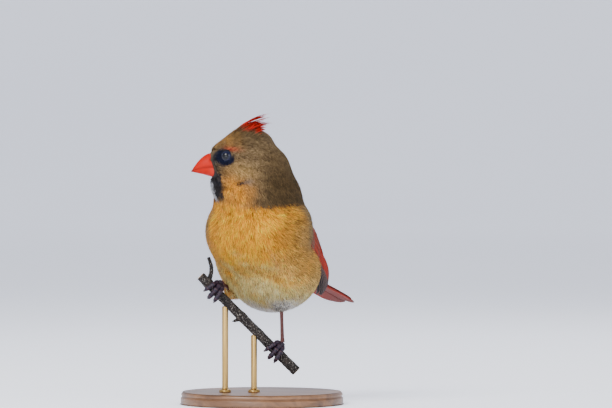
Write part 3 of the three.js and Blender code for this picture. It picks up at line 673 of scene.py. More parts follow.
def satin_brass():
    """Satin brass rod: drawn lengthwise, softly reflective, faintly tarnished."""
    return patterned("satin_drawn_brass", "B08D4F", 0.3, 1.0, 3.0, stops=[(0.3, "94743C"), (0.7, "C2A062")],
                     rough=(0.22, 0.42), stretch=(900.0, 900.0, 20.0), Metallic=1.0)


def stage_paper():
    """Thin matt studio paper in a pale blue grey, with a painted glow of its own that brightens it and adds soft light
    from below.
    """
    return patterned("matt_studio_paper", "F4F6FC", 0.95, 1.4, 2.0, stops=[(0.35, "F1F3FA"), (0.65, "F6F8FD")],
                     Emission_Color=(*linear("E4E8F4"), 1), Emission_Strength=0.5)


MATERIALS = {}  # by the function that makes each one


def finish_of(make):
    """The material that a function makes, made once and then shared."""
    if make not in MATERIALS:
        MATERIALS[make] = make()
    return MATERIALS[make]


# The skin, as rings round a line that climbs from the tail's root to the crest

SPINE = smooth_path([
    (1.5, 61, 79), (1.5, 46, 84), (1.6, 26, 92), (1.8, 7, 101), (1.8, -7, 116), (0.8, -14, 131),
    (-1.6, -20, 145), (-4.2, -24, 157), in_head(-9, 0, 16), in_head(-17.5, 0, 25.2),
], 400)
SPINE_WAY = unit(np.gradient(SPINE, axis=0))
SPINE_LEFT = unit(np.array([1.0, 0, 0]) - SPINE_WAY * SPINE_WAY[:, :1])
SPINE_BACK = np.cross(SPINE_LEFT, SPINE_WAY)
SPINE_BACK = SPINE_BACK * np.sign(SPINE_BACK[50, 2])


def skin_point(share, turn):
    """The skin at a share of the spine and a turn from the back: a ray from the spine to the skin's field.

    The shares are drawn out towards both ends, where the form closes.
    """
    eased = 0.45 * share + 0.55 * (1 - np.cos(np.pi * share)) / 2
    at = eased * (len(SPINE) - 1)
    index = np.arange(len(SPINE))

    def sample(line):
        return np.stack([np.interp(at, index, line[:, k]) for k in range(3)], -1)

    way = unit(sample(SPINE_BACK) * np.cos(turn)[..., None] + sample(SPINE_LEFT) * np.sin(turn)[..., None])
    return cast(skin_field, sample(SPINE), way, 60)


def skin_grid(rows, columns):
    """The skin at an even grid of shares and turns, and its map: turn and share from 0 to 1."""
    share, turn = np.meshgrid(np.linspace(0, 1, rows), np.linspace(0, FULL_TURN, columns, endpoint=False),
                              indexing="ij")
    return skin_point(share, turn), np.stack([turn / FULL_TURN, share], -1)


def lie(p, normal):
    """The way the feathers lie: back from the bill over the head, then down and back to the tail."""
    f, _, u = head_place(p)
    from_bill = unit(p - in_head(19, 0, -2))
    crest = ease(u, 7, 14) * ease(f, -22, -8)
    up_crest = -HEAD_FORWARD * 0.87 + UP * 0.42
    down = np.array([0, 0.12, -1.0])
    near = np.exp(-(np.linalg.norm(p - in_head(16, 0, -1), axis=-1) / 24) ** 2)[..., None]
    head_way = unit(from_bill * (0.35 + near) + down * (0.75 - 0.55 * near))
    head_way = unit(head_way * (1 - crest[..., None]) + up_crest * crest[..., None] * 1.6)
    to_vent = unit(np.array([1.5, 52, 72]) - p)
    side = ease(np.abs(p[..., 0] - 2), 9, 27)[..., None] * ease(p[..., 2], 74, 92)[..., None]
    low = unit(to_vent * 0.62 + down * 0.5 + np.array([0, 1.0, 0.15]) * side * 0.9)
    share = ease(p[..., 2], 122, 140)[..., None]
    way = low * (1 - share) + head_way * share
    way = way - normal * np.sum(way * normal, -1, keepdims=True)
    return unit(way)


def scatter(count, seed, weight_of):
    """Even random roots on the skin: cells are picked along the running sum of area times weight."""
    rows, columns = 260, 300  # cells of about a millimetre
    points, _ = skin_grid(rows, columns)
    a = np.roll(points, -1, 1)[:-1] - points[:-1]
    b = points[1:] - points[:-1]
    area = np.linalg.norm(np.cross(a, b), axis=-1)
    weight = area * weight_of(points[:-1])
    running = np.cumsum(weight.ravel())
    rng = np.random.RandomState(seed)
    picks = (np.arange(count) + rng.uniform(0, 1, count)) / count * running[-1]
    cell = np.minimum(np.searchsorted(running, picks), running.size - 1)
    i, j = cell // columns, cell % columns
    s, t = rng.uniform(0, 1, count), rng.uniform(0, 1, count)
    k = (j + 1) % columns
    root = ((points[i, j] * (1 - s)[:, None] + points[i, k] * s[:, None]) * (1 - t)[:, None]
            + (points[i + 1, j] * (1 - s)[:, None] + points[i + 1, k] * s[:, None]) * t[:, None])
    uv = np.stack([(j + s) / columns, (i + t) / (rows - 1)], -1)
    return root, uv, rng


# A sliver: a ring of three points at its root, another at its middle, and a tip, with its spot on the skin's map
SLIVER_POINTS, SLIVER_TRIANGLES, MOST_TRIANGLES = 7, 10, 185000
SLIVER_SIDES = np.array([[0, 1, 4, 3], [1, 2, 5, 4], [2, 0, 3, 5]])
SLIVER_ENDS = np.array([[3, 4, 6], [4, 5, 6], [5, 3, 6], [0, 2, 1]])
SLIVER_MAP = np.array([[-1, -1], [0, -1], [1, -1], [-1, 0], [0, 0], [1, 0], [0, 1]]) * 0.0015


def fewer(count):
    return count


def slivers(root, middle, tip, across, normal, half, girth, place, colour):
    """Points, sides, ends, map and colours of slivers through arrays of roots, middles and tips.

    A ring's points lie a half width to each side and one below; girth is the root ring's share of the middle's.
    """
    def ring(p, share):
        reach = half * share
        return np.stack([p - across * reach, p + across * reach, p - normal * reach * 1.1], -2)

    points = np.concatenate([ring(root, girth), ring(middle, 1.0), tip[..., None, :]], -2)
    uv = np.broadcast_to(place[:, None, None] + SLIVER_MAP, (*root.shape[:2], SLIVER_POINTS, 2))
    start = np.arange(0, points.size // 3, SLIVER_POINTS)[:, None, None]
    return (points.reshape(-1, 3), (SLIVER_SIDES + start).reshape(-1, 4), (SLIVER_ENDS + start).reshape(-1, 3),
            uv.reshape(-1, 2), colour.reshape(-1, 3))


def tufts(root, uv, rng, length, spread, width, tint, way=None, normal=None, barbs=6, level=0.15):
    """Feather tufts: barbs fan out from a root, follow the body's form and end near the coat's outside.

    A barb is a three-sided sliver with a root ring, a middle ring and a tip, each set to a level of the field.
    """
    shape = (len(root), barbs)
    normal = slope(root) if normal is None else normal
    way = lie(root, normal) if way is None else way
    swing = rng.normal(0, 0.13, len(root))[:, None]
    way = unit(way + unit(np.cross(normal, way)) * swing)
    across = unit(np.cross(normal, way))
    fan = np.linspace(-1, 1, barbs)[None, :] + rng.normal(0, 0.16, shape)
    size = length[:, None] * (1 - 0.16 * fan ** 2) * rng.uniform(0.82, 1.1, shape)
    depth = coat_depth(root)[:, None]
    lift = level + rng.normal(0, 0.22, shape)
    N, W, A = normal[:, None], way[:, None], across[:, None]
    R = root[:, None] + A * (fan * 0.25)[..., None] - N * 0.25
    M = R + W * (size * 0.5)[..., None] + A * (fan * spread[:, None] * 0.62)[..., None]
    T = R + W * size[..., None] + A * (fan * spread[:, None])[..., None]
    for _ in range(2):
        M = M + N * ((-0.42 * depth) - body(M))[..., None]
    tip_normal = slope(T.reshape(-1, 3)).reshape(T.shape)
    T = T + tip_normal * (lift - body(T))[..., None] * 0.9
    half = (width[:, None] * rng.uniform(0.8, 1.2, shape))[..., None]
    tone = (1 + rng.normal(0, 0.4, shape)).clip(0.3)[..., None, None]
    # dark at the roots, partly their own grey down and partly painted shade in the depth, with a little painted shade
    # on the middle's lower edge; lightest at the tip, which is its own paler buff
    along = np.array([0.3, 0.3, 0.3, 0.78, 0.78, 0.66, 1.5])[:, None]
    return slivers(R, M, T, A, N, half, 0.8, uv, tint[:, None, None, :] * tone * along)


def put_tufts(name, arrays):
    """Puts tufts into pieces of fewer than 200,000 triangles."""
    points, sides, ends, uv, colour = arrays
    per_piece = MOST_TRIANGLES // SLIVER_TRIANGLES
    for number, first in enumerate(range(0, len(points) // SLIVER_POINTS, per_piece)):
        def part(array, each):
            return array[first * each:(first + per_piece) * each]

        below = first * SLIVER_POINTS
        faces = [part(sides, len(SLIVER_SIDES)) - below, part(ends, len(SLIVER_ENDS)) - below]
        put_mesh(f"{name}_{number:02d}", part(points, SLIVER_POINTS), faces, coat_barbs, "coat_buff",
                 tint=part(colour, SLIVER_POINTS), uv=part(uv, SLIVER_POINTS), uv_name="OFBake")


# Vanes of the wings and the tail

# A vane's columns, from its inner edge over the shaft to its outer edge
ACROSS = np.array([-1, -0.8, -0.55, -0.3, -0.08, 0, 0.08, 0.3, 0.55, 0.8, 0.93, 1])


def vane(place, width, colour, rows=18, thick=0.2, shaft=0.16):
    """A feather: a curved grid over its length and width, its lower face a thickness below, a raised shaft.

    place(t, v, height) gives a point; width(t) is the half width in millimetres; colour(t, v) is its own colour.
    The edges close the two faces.
    """
    t = 1 - (1 - np.linspace(0, 1, rows)) ** 1.35
    T, V = np.meshgrid(t, ACROSS, indexing="ij")
    ridge = shaft * np.exp(-(V / 0.07) ** 2) * (1 - T * 0.7)
    top = place(T, V, ridge)
    bottom = place(T, V, np.full_like(T, -thick))
    columns = len(ACROSS)
    n = rows * columns
    upper = grid_faces(rows, columns)
    lower = grid_faces(rows, columns, start=n)[:, ::-1]
    edge = np.concatenate([np.arange(columns), np.arange(1, rows) * columns + columns - 1,
                           (rows - 1) * columns + np.arange(columns - 2, -1, -1),
                           np.arange(rows - 2, 0, -1) * columns])
    rim = np.stack([edge, edge + n, np.roll(edge, -1) + n, np.roll(edge, -1)], -1)
    side = V * width(T)
    uv = np.stack([side, T * 40], -1).reshape(-1, 2)
    tint = colour(T, V).reshape(-1, 3)
    points = np.concatenate([top.reshape(-1, 3), bottom.reshape(-1, 3)])
    faces = outward(points, np.concatenate([upper, lower, rim]), np.zeros((0, 3), int))
    # the lower face is a fifth darker: painted shade under the feather
    return points, *faces, np.concatenate([uv, uv]), np.concatenate([tint, tint * 0.8])


def put_vanes(name, vanes, slot, node_name):
    """Joins feathers into one piece."""
    points, faces, uv = joined(vanes)
    put_mesh(name, points, faces, vane_keratin, slot, (node_name,), np.concatenate([v[4] for v in vanes]), uv)


def plume_width(t, blunt, base=0.45):
    """The share of a feather's half width along it: it swells from the root and rounds off at the tip."""
    swell = base + (1 - base) * np.sin(np.clip(t / 0.6, 0, 1) * np.pi / 2)
    rest = np.clip((t - (1 - blunt)) / blunt, 0, 1)
    return swell * np.sqrt(np.maximum(1 - rest ** 2, 0.004))


# The wing's tiers, from the longest feathers up: how many feathers, the root's run, its turns at the first and the last
# feather, the tip's runs and turns, the pitch between feathers, bluntness, rise at root and tip, and half width
TIERS = {
    "primary": (9, 30, (89, 74), (66, 77, 84, 88, 87, 83, 78), (121, 93), 1.5, 0.12, (0.1, 0.5), None),
    "secondary": (7, 24, (74, 50), (75, 66), (89, 66), 1.9, 0.14, (0.1, 0.7), None),
    "tertial": (3, 26, (45, 27), (63, 47), (58, 38), 3.4, 0.28, (0.3, 1.2), None),
    "greater": (10, 19, (77, 32), (44, 41), (97, 36), 2.9, 0.32, (1.2, 2.2), 3.5),
    "median": (10, 13.5, (71, 34), (31, 29), (84, 36), 2.8, 0.45, (2.0, 3.4), 3.7),
    "alula": (4, 24, (90, 84), (46, 50), (112, 104), 1.9, 0.3, (1.0, 1.5), 2.0),
}


def wing_rows(w):
    """Every feather of a wing: root and tip as run and turn, its shape, and u, its place in the tier from 0 to 1."""
    rows = []
    for kind, (count, run, turns, tip_runs, tip_turns, pitch, blunt, rise, half) in TIERS.items():
        for u in np.linspace(0, 1, count):
            turn, tip_run, tip_turn = (np.interp(u, np.linspace(0, 1, len(knots)), knots)
                                       for knots in (turns, tip_runs, tip_turns))
            rows.append(dict(kind=kind, root=(run, turn), tip=(tip_run, tip_turn), pitch=pitch, blunt=blunt,
                             rise=rise, u=u, half=half or getattr(w, f"{kind}_half")))
    return rows


def wing_vane(side, f, w, rng):
    """One feather of the folded wing, on the same run and turn as its solid, over its lower neighbour."""
    def half(t):
        return f["half"] * plume_width(t, f["blunt"])

    def place(t, v, height):
        run = f["root"][0] + (f["tip"][0] - f["root"][0]) * t
        turn = f["root"][1] + (f["tip"][1] - f["root"][1]) * t
        start = WING_START + run[..., None] * WING_WAY
        radius = np.linalg.norm(on_wing(side, run, turn, 0.0) - start, axis=-1)
        tilt = 0.34 / f["pitch"] * np.clip(0.45 + t * 2, 0, 1)
        rise = f["rise"][0] + (f["rise"][1] - f["rise"][0]) * np.clip(t * 2, 0, 1)
        ragged = 1 + 0.035 * np.sin(t * 61 + f["u"] * 9) * np.abs(v)
        over = rise + tilt * (v + 1) * half(t) + 0.12 * (1 - v ** 2) + height
        return on_wing(side, run, turn + np.degrees(v * half(t) * ragged / radius), over)

    tone = 1 + rng.normal(0, 0.05)

    def colour(t, v):
        base = plain(w.dark, t.shape)
        edge = ease(v, 0.4, 0.85)
        if f["kind"] == "primary":
            base = mix(base, w.pale_edge, ease(v, 0.93, 1) * 0.6 * ease(t, 0.2, 0.4) * (1 - ease(t, 0.8, 0.92)))
            base = mix(base, w.red, ease(v, 0.4, 0.8) * ease(0.42 - t, 0, 0.2) * 0.8)
            base = mix(base, w.grey_tip, ease(t, 0.8, 0.97) * 0.7)
        elif f["kind"] == "secondary":
            base = mix(base, w.red, edge * (1 - 0.4 * ease(t, 0.75, 1)))
            base = mix(base, w.grey_tip, ease(t, 0.9, 1) * 0.6)
        elif f["kind"] == "tertial":
            base = mix(base, w.brown, 0.75)
            base = mix(base, w.red, ease(np.abs(v), 0.6, 1) * 0.35)
        elif f["kind"] == "greater":
            base = mix(base, w.brown, 0.8)
            base = mix(base, w.red, ease(v, -0.1, 0.6) * (0.85 - 0.5 * f["u"]) * (1 - 0.5 * ease(t, 0.85, 1)))
        else:
            base = mix(base, w.brown, 0.92)
            base = mix(base, w.red, ease(np.abs(v), 0.5, 1) * 0.45 * (1 - 0.6 * f["u"]))
        shaft = np.exp(-(v / 0.07) ** 2) * 0.5
        return mix(base, "1E1715", shaft) * tone

    return vane(place, half, colour, rows=18 if f["tip"][0] > 50 else 12)


# Tail

TAIL_ROOT = np.array([1.5, 22, 88.0])


def turned_tail(y, z):
    """A direction of the tail, turned a little to the bird's left."""
    c, s = math.cos(-TAIL_TURN), math.sin(-TAIL_TURN)
    return np.array([-s * y, c * y, z])


TAIL_WAY = turned_tail(math.cos(TAIL_PITCH), -math.sin(TAIL_PITCH))
TAIL_UP = turned_tail(math.sin(TAIL_PITCH), math.cos(TAIL_PITCH))
TAIL_LEFT = np.cross(TAIL_WAY, TAIL_UP)
# The tail feathers' lengths, from the middle one outwards
RECTRIX_LENGTHS = np.array([97, 98, 97, 95.5, 93, 89]) * 97 / 98


def on_tail(run, left, over):
    """A place on the tail: back from its root, left of its middle line, and over it."""
    run, left, over = np.broadcast_arrays(run, left, over)
    return TAIL_ROOT + run[..., None] * TAIL_WAY + left[..., None] * TAIL_LEFT + over[..., None] * TAIL_UP


def tail_vane(side, k, hues, rng):
    """One tail feather, in its solid's place: the outer ones lie lower, and all droop a little to the tip."""
    length = RECTRIX_LENGTHS[k]
    inner = -3.5 if k == 0 else 0.2
    layer = (1.5 if side > 0 else 0.5) if k == 0 else -k
    pitch = 0.5

    def widths(t):
        widen = 0.5 + 0.5 * np.sin(np.clip(t / 0.75, 0, 1) * np.pi / 2)
        rest = np.clip((t - 0.86) / 0.14, 0, 1)
        return inner * widen, (5.4 + 0.92 * k) * widen, np.sqrt(np.maximum(1 - rest ** 2, 0.006))

    def half(t):
        low, high, narrow = widths(t)
        return (high - low) / 2 * narrow

    def place(t, v, height):
        t = 0.14 + 0.86 * t
        low, high, narrow = widths(t)
        x = (low + high) / 2 + v * (high - low) / 2 * narrow
        run = length * t
        droop = -0.0006 * (run - 60) * np.maximum(run - 60, 0)
        over = layer * pitch + 2.0 + droop - 0.12 * np.maximum(x, 0) + 0.12 * (1 - v ** 2) + height
        return on_tail(run, side * x, over)

    tone = 1 + rng.normal(0, 0.04)

    def colour(t, v):
        base = plain(hues.upper, t.shape)
        base = mix(base, hues.dark, ease(-v, -0.2, 0.7) * 0.6)
        base = mix(base, hues.edge, ease(v, 0.6, 0.95) * 0.75)
        base = mix(base, hues.tip, ease(t, 0.8, 1) * 0.75)
        return mix(base, "3A1C1A", np.exp(-(v / 0.07) ** 2) * 0.5) * tone

    *shape, tint = vane(place, half, colour, rows=22)
    # the underside is paler and greyer
    n = len(tint) // 2
    tint[n:] = mix(tint[:n], hues.under, 0.42)
    return *shape, tint


# Bill: the ridge, the gape, the lower edge and the half width at runs forward from the head's centre

BILL_RUNS = [11, 15, 19, 22.5, 25.5, 28, 29.8]
CULMEN = [5.2, 5, 4.6, 2.6, -0.3, -3.6, -6.5]
GAPE = [-4.2, -4.2, -4.2, -4.5, -5, -5.8, -6.9]
GONYS = [-10.6, -10.9, -10, -9, -8.4, -7.8, -7.4]
BILL_HALF = [6.2, 6.3, 5.7, 4.6, 3.3, 1.8, 0.5]


def mandible(ridge, shift, tuck, rows=44, sides=40):
    """Half of the bill: a bent half oval from the gape line to the ridge at each run, closed along the gape.

    The lower half's edge is tucked inside the upper half's, as a share of its width.
    """
    knots = np.array(BILL_RUNS, float)
    run, edge, top = smooth_path(np.stack([knots, GAPE, ridge], -1), rows).T
    half = smooth_path(np.stack([knots, BILL_HALF, ridge], -1), rows)[:, 1]
    angle = np.concatenate([np.linspace(0, math.pi, sides // 2 + 1),
                            np.linspace(math.pi, FULL_TURN, sides // 2 + 1)[1:-1]])
    over = np.where(angle <= math.pi, np.abs(np.sin(angle)) ** 0.8, 0.0)
    inner = np.where(angle > math.pi, 1.0, 0.0)
    forward = np.broadcast_to(run[:, None], (rows, len(angle)))
    left = half[:, None] * np.cos(angle) * (1 - 0.10 * over) * tuck
    up = edge[:, None] + shift + (top - edge)[:, None] * over + inner * shift * 0.8
    ends = [in_head(run[k] + beyond, 0, (edge[k] + top[k]) / 2) for k, beyond in ((0, 0), (-1, 0.3))]
    points = np.concatenate([in_head(forward, left, up).reshape(-1, 3), ends])
    return points, *closed_rings(rows, len(angle))


def outward(points, quads, triangles):
    """Turns all faces over if the closed form's signed volume is negative."""
    fans = np.concatenate([quads[:, [0, 1, 2]], quads[:, [0, 2, 3]], triangles])
    a, b, c = (points[fans[:, k]] for k in range(3))
    if np.sum(a * np.cross(b, c)) < 0:
        return quads[:, ::-1], triangles[:, ::-1]
    return quads, triangles


# Settings

def millimetres(name, text, default):
    """A size in millimetres."""
    return bpy.props.FloatProperty(name=name, description=text, default=default, min=0.0)


def hue(name, text, colour):
    """A colour, kept linear."""
    return bpy.props.FloatVectorProperty(name=name, description=text, subtype="COLOR", size=3,
                                         default=tuple(float(c) for c in linear(colour)), min=0, max=1)


class CARDINAL_PG_coat(bpy.types.PropertyGroup):
    """Sizes and colours of the body feathers"""
    count: bpy.props.IntProperty(name="Tufts", description="Feather tufts on the body and head", default=21000)
    body_length: millimetres("Body length", "Length of a body tuft in millimetres", 8.6)
    head_length: millimetres("Head length", "Length of a head tuft in millimetres", 4.4)
    body_spread: millimetres("Spread", "Half width of a body tuft's fan in millimetres", 1.5)
    strand: millimetres("Strand", "Half width of one strand of barbs in millimetres", 0.24)
    breast: hue("Breast", "Warm buff of the breast", "EE9722")
    belly: hue("Belly", "Pale buff of the belly", "F6D68C")
    vent: hue("Vent", "Greyish cream under the tail", "FFF8EC")
    flank: hue("Flank", "Brownish buff of the flanks", "A07634")
    back: hue("Back", "Grey brown of the back", "705C3C")
    hood: hue("Hood", "Grey brown of the head", "715C3F")
    face: hue("Face", "Pale tan behind and under the eye", "A98852")
    down: hue("Down", "Grey down between the feathers", "6F6A62")
    cheek: hue("Cheek", "Buff of the cheeks", "D08424")
    nape: hue("Nape", "Greyer brown of the nape", "46361F")
    forehead: hue("Forehead", "Warm brown of the forehead", "8A6230")
    brow: hue("Brow", "Dull red over the eye", "8E2E1C")
    crest: hue("Crest", "Red of the crest's tip", "BE2418")
    mask: hue("Mask", "Grey black round the bill", "1F2024")
    # partly the feathers' own colour, partly painted shade round the eye
    ring: hue("Eye ring", "Blue black of the short feathers round the eye", "0E1122")
    chin: hue("Chin", "Pale grey fluff of the chin", "C4C5C8")
    trouser_left: hue("Left heel", "Grey of the tufts at the left heel", "8F8A82")
    trouser_right: hue("Right heel", "Tan of the tufts at the right heel", "B57F3E")
    shoulder: hue("Shoulder", "Greyer tan of the shoulders", "7E6A46")


class CARDINAL_PG_wing(bpy.types.PropertyGroup):
    """Sizes and colours of the wing feathers"""
    primary_half: millimetres("Primary half width", "Half width of a primary in millimetres", 3.0)
    secondary_half: millimetres("Secondary half width", "Half width of a secondary in millimetres", 3.4)
    tertial_half: millimetres("Tertial half width", "Half width of a tertial in millimetres", 5.2)
    dark: hue("Dark web", "Blackish brown of the hidden webs", "100B0B")
    brown: hue("Brown", "Grey brown of the coverts and tertials", "564230")
    red: hue("Red edge", "Orange red of the outer webs", "9E2A16")
    pale_edge: hue("Pale edge", "Pinkish white edge of the primaries", "B4948C")
    grey_tip: hue("Grey tip", "Grey of the wing tip", "2F2B2B")


class CARDINAL_PG_tail(bpy.types.PropertyGroup):
    """Colours of the tail feathers"""
    upper: hue("Upper side", "Dull red of the upper side", "641A14")
    dark: hue("Inner web", "Dusky red of the inner webs", "2C0D0B")
    edge: hue("Edge", "Brighter red edge", "9C3020")
    under: hue("Underside", "Pinkish grey of the underside", "8C4238")
    tip: hue("Tip", "Grey of the tips", "3C302F")


class CARDINAL_PG_bare(bpy.types.PropertyGroup):
    """Colours of the bill, eyes and legs"""
    bill: hue("Bill", "Orange red horn", "A41200")
    bill_pale: hue("Bill base", "Paler base of the lower bill", "B02C1E")
    # the dusky tip is the bill's own colour; along the mouth line the same colour is painted shade
    bill_tip: hue("Bill tip", "Dusky tip and edges", "6A160A")
    leg: hue("Leg", "Dark reddish brown scutes", "431A14")
    leg_edge: hue("Scute edge", "Pale edges of the scutes", "503434")
    toe: hue("Toe", "Purplish black toes", "1A1020")


class CARDINAL_PG_stage(bpy.types.PropertyGroup):
    """The camera's distance, lens and elevation"""
    distance: bpy.props.FloatProperty(name="Distance", description="Camera distance", default=3.0, unit="LENGTH")
    lens: bpy.props.FloatProperty(name="Lens", description="Focal length in millimetres", default=275.7)
    elevation: bpy.props.FloatProperty(name="Elevation", description="Camera height angle",
                                       default=math.radians(1), subtype="ANGLE")


# Operators

class CARDINAL_OT_skin(bpy.types.Operator):
    """Makes the skin that carries the coat"""
    bl_idname = "cardinal.skin"
    bl_label = "Skin"

    def execute(self, context):
        rows, columns = 230, 192
        grid, place = skin_grid(rows, columns)
        points = np.concatenate([grid.reshape(-1, 3), [grid[0].mean(0), grid[-1].mean(0)]])
        faces = outward(points, *closed_rings(rows, columns))
        uv = np.concatenate([place.reshape(-1, 2), [[0.5, 0], [0.5, 1]]])
        # painted shade: darker than the tufts, as it shows only in the shade between them
        tint = markings(points, context.scene.cardinal_coat) * 0.72
        put_mesh("skin", points, faces, coat_barbs, "coat_buff",
                 ("torso", "neck", "head", "thigh_left", "thigh_right"), tint=tint, uv=uv, uv_name="OFBake")
        return {"FINISHED"}


class CARDINAL_OT_coat(bpy.types.Operator):
    """Makes the body feathers, finer and shorter towards the face and legs, and the tufts round the heels"""
    bl_idname = "cardinal.coat"
    bl_label = "Body feathers"

    def execute(self, context):
        coat = context.scene.cardinal_coat

        def weight_of(p):
            """None at the bill, the eyes and under the wings; more on the head, and most round the eyes."""
            f, l, u = head_place(p)
            bill = (np.abs(l) < 6.6) & (f > 13.8) & (u < 5.4) & (u > -11.2)
            eyes = nearest(p, EYE_PLACE)
            head = ease(p[..., 2], 128, 146)
            weight = 1 + 1.7 * head + 2.5 * (1 - ease(eyes, 4, 9))
            run = (p - WING_START) @ WING_WAY
            covered = in_wing(p, 2 + 5 * ease(run, 45, 60), 14 * ease(run, 44, 60))
            wing = covered & (run > 18) & (run < 70) & (wing_bed(p) > -3.5)
            return np.where(bill | (eyes < 4.3) | wing, 0, weight)

        root, uv, rng = scatter(fewer(coat.count), 11, weight_of)
        order = np.argsort(uv[:, 1], kind="stable")
        root, uv = root[order], uv[order]
        head = ease(root[:, 2], 126, 146)
        f, _, u = head_place(root)
        base = np.linalg.norm(root - in_head(17, 0, -3), axis=-1)
        small = np.minimum(ease(base, 4, 16), ease(nearest(root, EYE_PLACE), 3, 10))
        heel = nearest(root, [foot["heel"] for foot in FEET.values()])
        size = coat.body_length + (coat.head_length - coat.body_length) * head
        size = size * (0.42 + 0.58 * np.where(head > 0.05, small, 1)) * (0.5 + 0.5 * ease(heel, 3, 12))
        crest = ease(u, 10, 18) * ease(-f, -2, 8)
        size = size * (1 + 0.5 * crest) * rng.uniform(0.85, 1.15, len(root))
        spread = coat.body_spread * (1 - 0.45 * head) * (0.45 + 0.55 * small)
        strand = coat.strand * (1 - 0.2 * head)
        # locks of several tufts share a tone, in streaks that run down the body and back over the head
        along = np.where(head[:, None] > 0.5, np.abs(HEAD_FORWARD), UP)
        streak = wobble(root * (1.7 - 1.35 * along), 3.4, 12)
        tint = markings(root, coat) * (1 + rng.normal(0, 0.18, len(root)) + 0.32 * streak)[:, None].clip(0.3)
        put_tufts("coat", tufts(root, uv, rng, size, spread, strand, tint))
        self.trousers(coat, rng)
        return {"FINISHED"}

    def trousers(self, coat, rng):
        """Tufts all round both heels, laid down the leg; each takes the nearest place of the skin's own map."""
        skin, place = (array.reshape(-1, array.shape[-1]) for array in skin_grid(110, 72))
        count = fewer(420)
        for name, foot in FEET.items():
            way, side, over = leg_axes(foot)
            angle = rng.uniform(0, FULL_TURN, count)
            out = np.cos(angle)[:, None] * side + np.sin(angle)[:, None] * over
            start = foot["heel"] + way * rng.uniform(-3.5, 9, count)[:, None]
            root = cast(body, start, out, 20, -0.5)
            keep = np.linalg.norm(root - start, axis=-1) < 9
            root, low = root[keep], (start[keep] - foot["heel"]) @ way
            normal = slope(root)
            down = unit(-way - normal * (normal @ -way)[:, None])
            near = np.argmin(np.sum((skin - root[:, None]) ** 2, -1), 1)
            tint = mix(markings(root, coat), getattr(coat, f"trouser_{name}"), 1 - ease(low, 1, 9))
            tint = tint * (1 + rng.normal(0, 0.22, len(root)))[:, None].clip(0.3)
            size = 4.2 * rng.uniform(0.7, 1.15, len(root))
            spread, strand = np.full((2, len(root)), [[0.7], [0.14]])
            put_tufts(f"coat_heel_{name}", tufts(root, place[near], rng, size, spread, strand, tint, down, normal))


class CARDINAL_OT_crest(bpy.types.Operator):
    """Makes the long crest feathers, from the crown back and up to loose tips"""
    bl_idname = "cardinal.crest"
    bl_label = "Crest"

    def execute(self, context):
        coat = context.scene.cardinal_coat
        rng = np.random.RandomState(5)
        feathers, strands, stations = 8, 13, 7
        lines = np.repeat(np.array(CREST), 2 * feathers, 0)
        side = np.tile(np.repeat([1.0, -1.0], feathers), len(CREST))
        count = len(lines)
        first = np.arange(count) % feathers == 0
        loose = np.where(first, 0, 1)[:, None] * rng.normal(0, 1, (count, 4))
        spread, half = lines[:, 4], lines[:, 5] * rng.uniform(0.7, 1.0, count)
        reach = np.where(first, 1.06, rng.uniform(0.62, 0.98, count))
        root = in_head(lines[:, 0] + loose[:, 0] * 1.6, side * spread + loose[:, 1] * 1.2,
                       lines[:, 1] + loose[:, 2] * 0.5)
        tip = in_head(lines[:, 2], side * spread * 0.55 + loose[:, 1] * 0.9, lines[:, 3] + loose[:, 3] * 0.9)
        tip = root + (tip - root) * reach[:, None]
        root = root - slope(root) * (body(root) + 0.7)[:, None]
        way = unit(tip - root)
        size = np.linalg.norm(tip - root, axis=-1)
        across = unit(np.cross(way, UP))
        over = np.cross(across, way)
        fan = np.linspace(-1, 1, strands)[None] + rng.normal(0, 0.06, (count, strands))
        ends = 1 - 0.26 * np.abs(fan) ** 1.4 * rng.uniform(0.5, 1.2, (count, strands))
        t = np.linspace(0, 1, stations) * ends[..., None]
        out = half[:, None, None] * fan[..., None] * np.sin(np.pi * (0.12 + 0.88 * np.clip(t, 0, 1)) ** 0.75)
        P = (root[:, None, None] + way[:, None, None] * (size[:, None, None] * t)[..., None]
             + across[:, None, None] * out[..., None]
             + over[:, None, None] * (1.25 * np.sin(np.pi * t) + 0.25 * np.abs(fan)[..., None])[..., None])
        girth = np.interp(np.linspace(0, 1, stations), [0, 0.6, 1], [0.24, 0.24, 0.03])[:, None]
        A, O = across[:, None, None], over[:, None, None]
        ring = np.stack([P - A * girth, P + A * girth, P - O * girth], -2).reshape(-1, stations * 3, 3)
        blades = len(ring)
        quads = np.concatenate([SLIVER_SIDES + 3 * k for k in range(stations - 1)])
        last = 3 * (stations - 1)
        ends = np.array([[0, 2, 1], [last, last + 1, last + 2]])
        start = (np.arange(blades) * stations * 3)[:, None, None]
        points = ring.reshape(-1, 3)
        tint = markings(points, coat).reshape(blades, stations * 3, 3)
        red = ease(np.repeat(t.reshape(blades, stations), 3, 1) + rng.normal(0, 0.06, (blades, 1)), 0.2, 0.5)
        tint = mix(tint, coat.crest, red)
        dark = (rng.uniform(0, 1, (blades, 1)) < 0.22) * 0.75
        tint = mix(tint, "3A1210", np.broadcast_to(dark, red.shape)) * rng.uniform(0.75, 1.2, (blades, 1, 1))
        place = np.stack([0.5 + side * spread * 0.012, 0.9 + 0.09 * rng.uniform(0, 1, count)], -1)
        place = np.repeat(place, strands, 0)[:, None]
        patch = np.stack(np.meshgrid(np.linspace(-1, 1, stations), [-1, 0, 1], indexing="ij"), -1).reshape(-1, 2)
        put_mesh("crest", points, [(quads + start).reshape(-1, 4), (ends + start).reshape(-1, 3)], coat_barbs,
                 "coat_grey", tint=tint.reshape(-1, 3), uv=(place + patch * 0.0014).reshape(-1, 2), uv_name="OFBake")
        return {"FINISHED"}


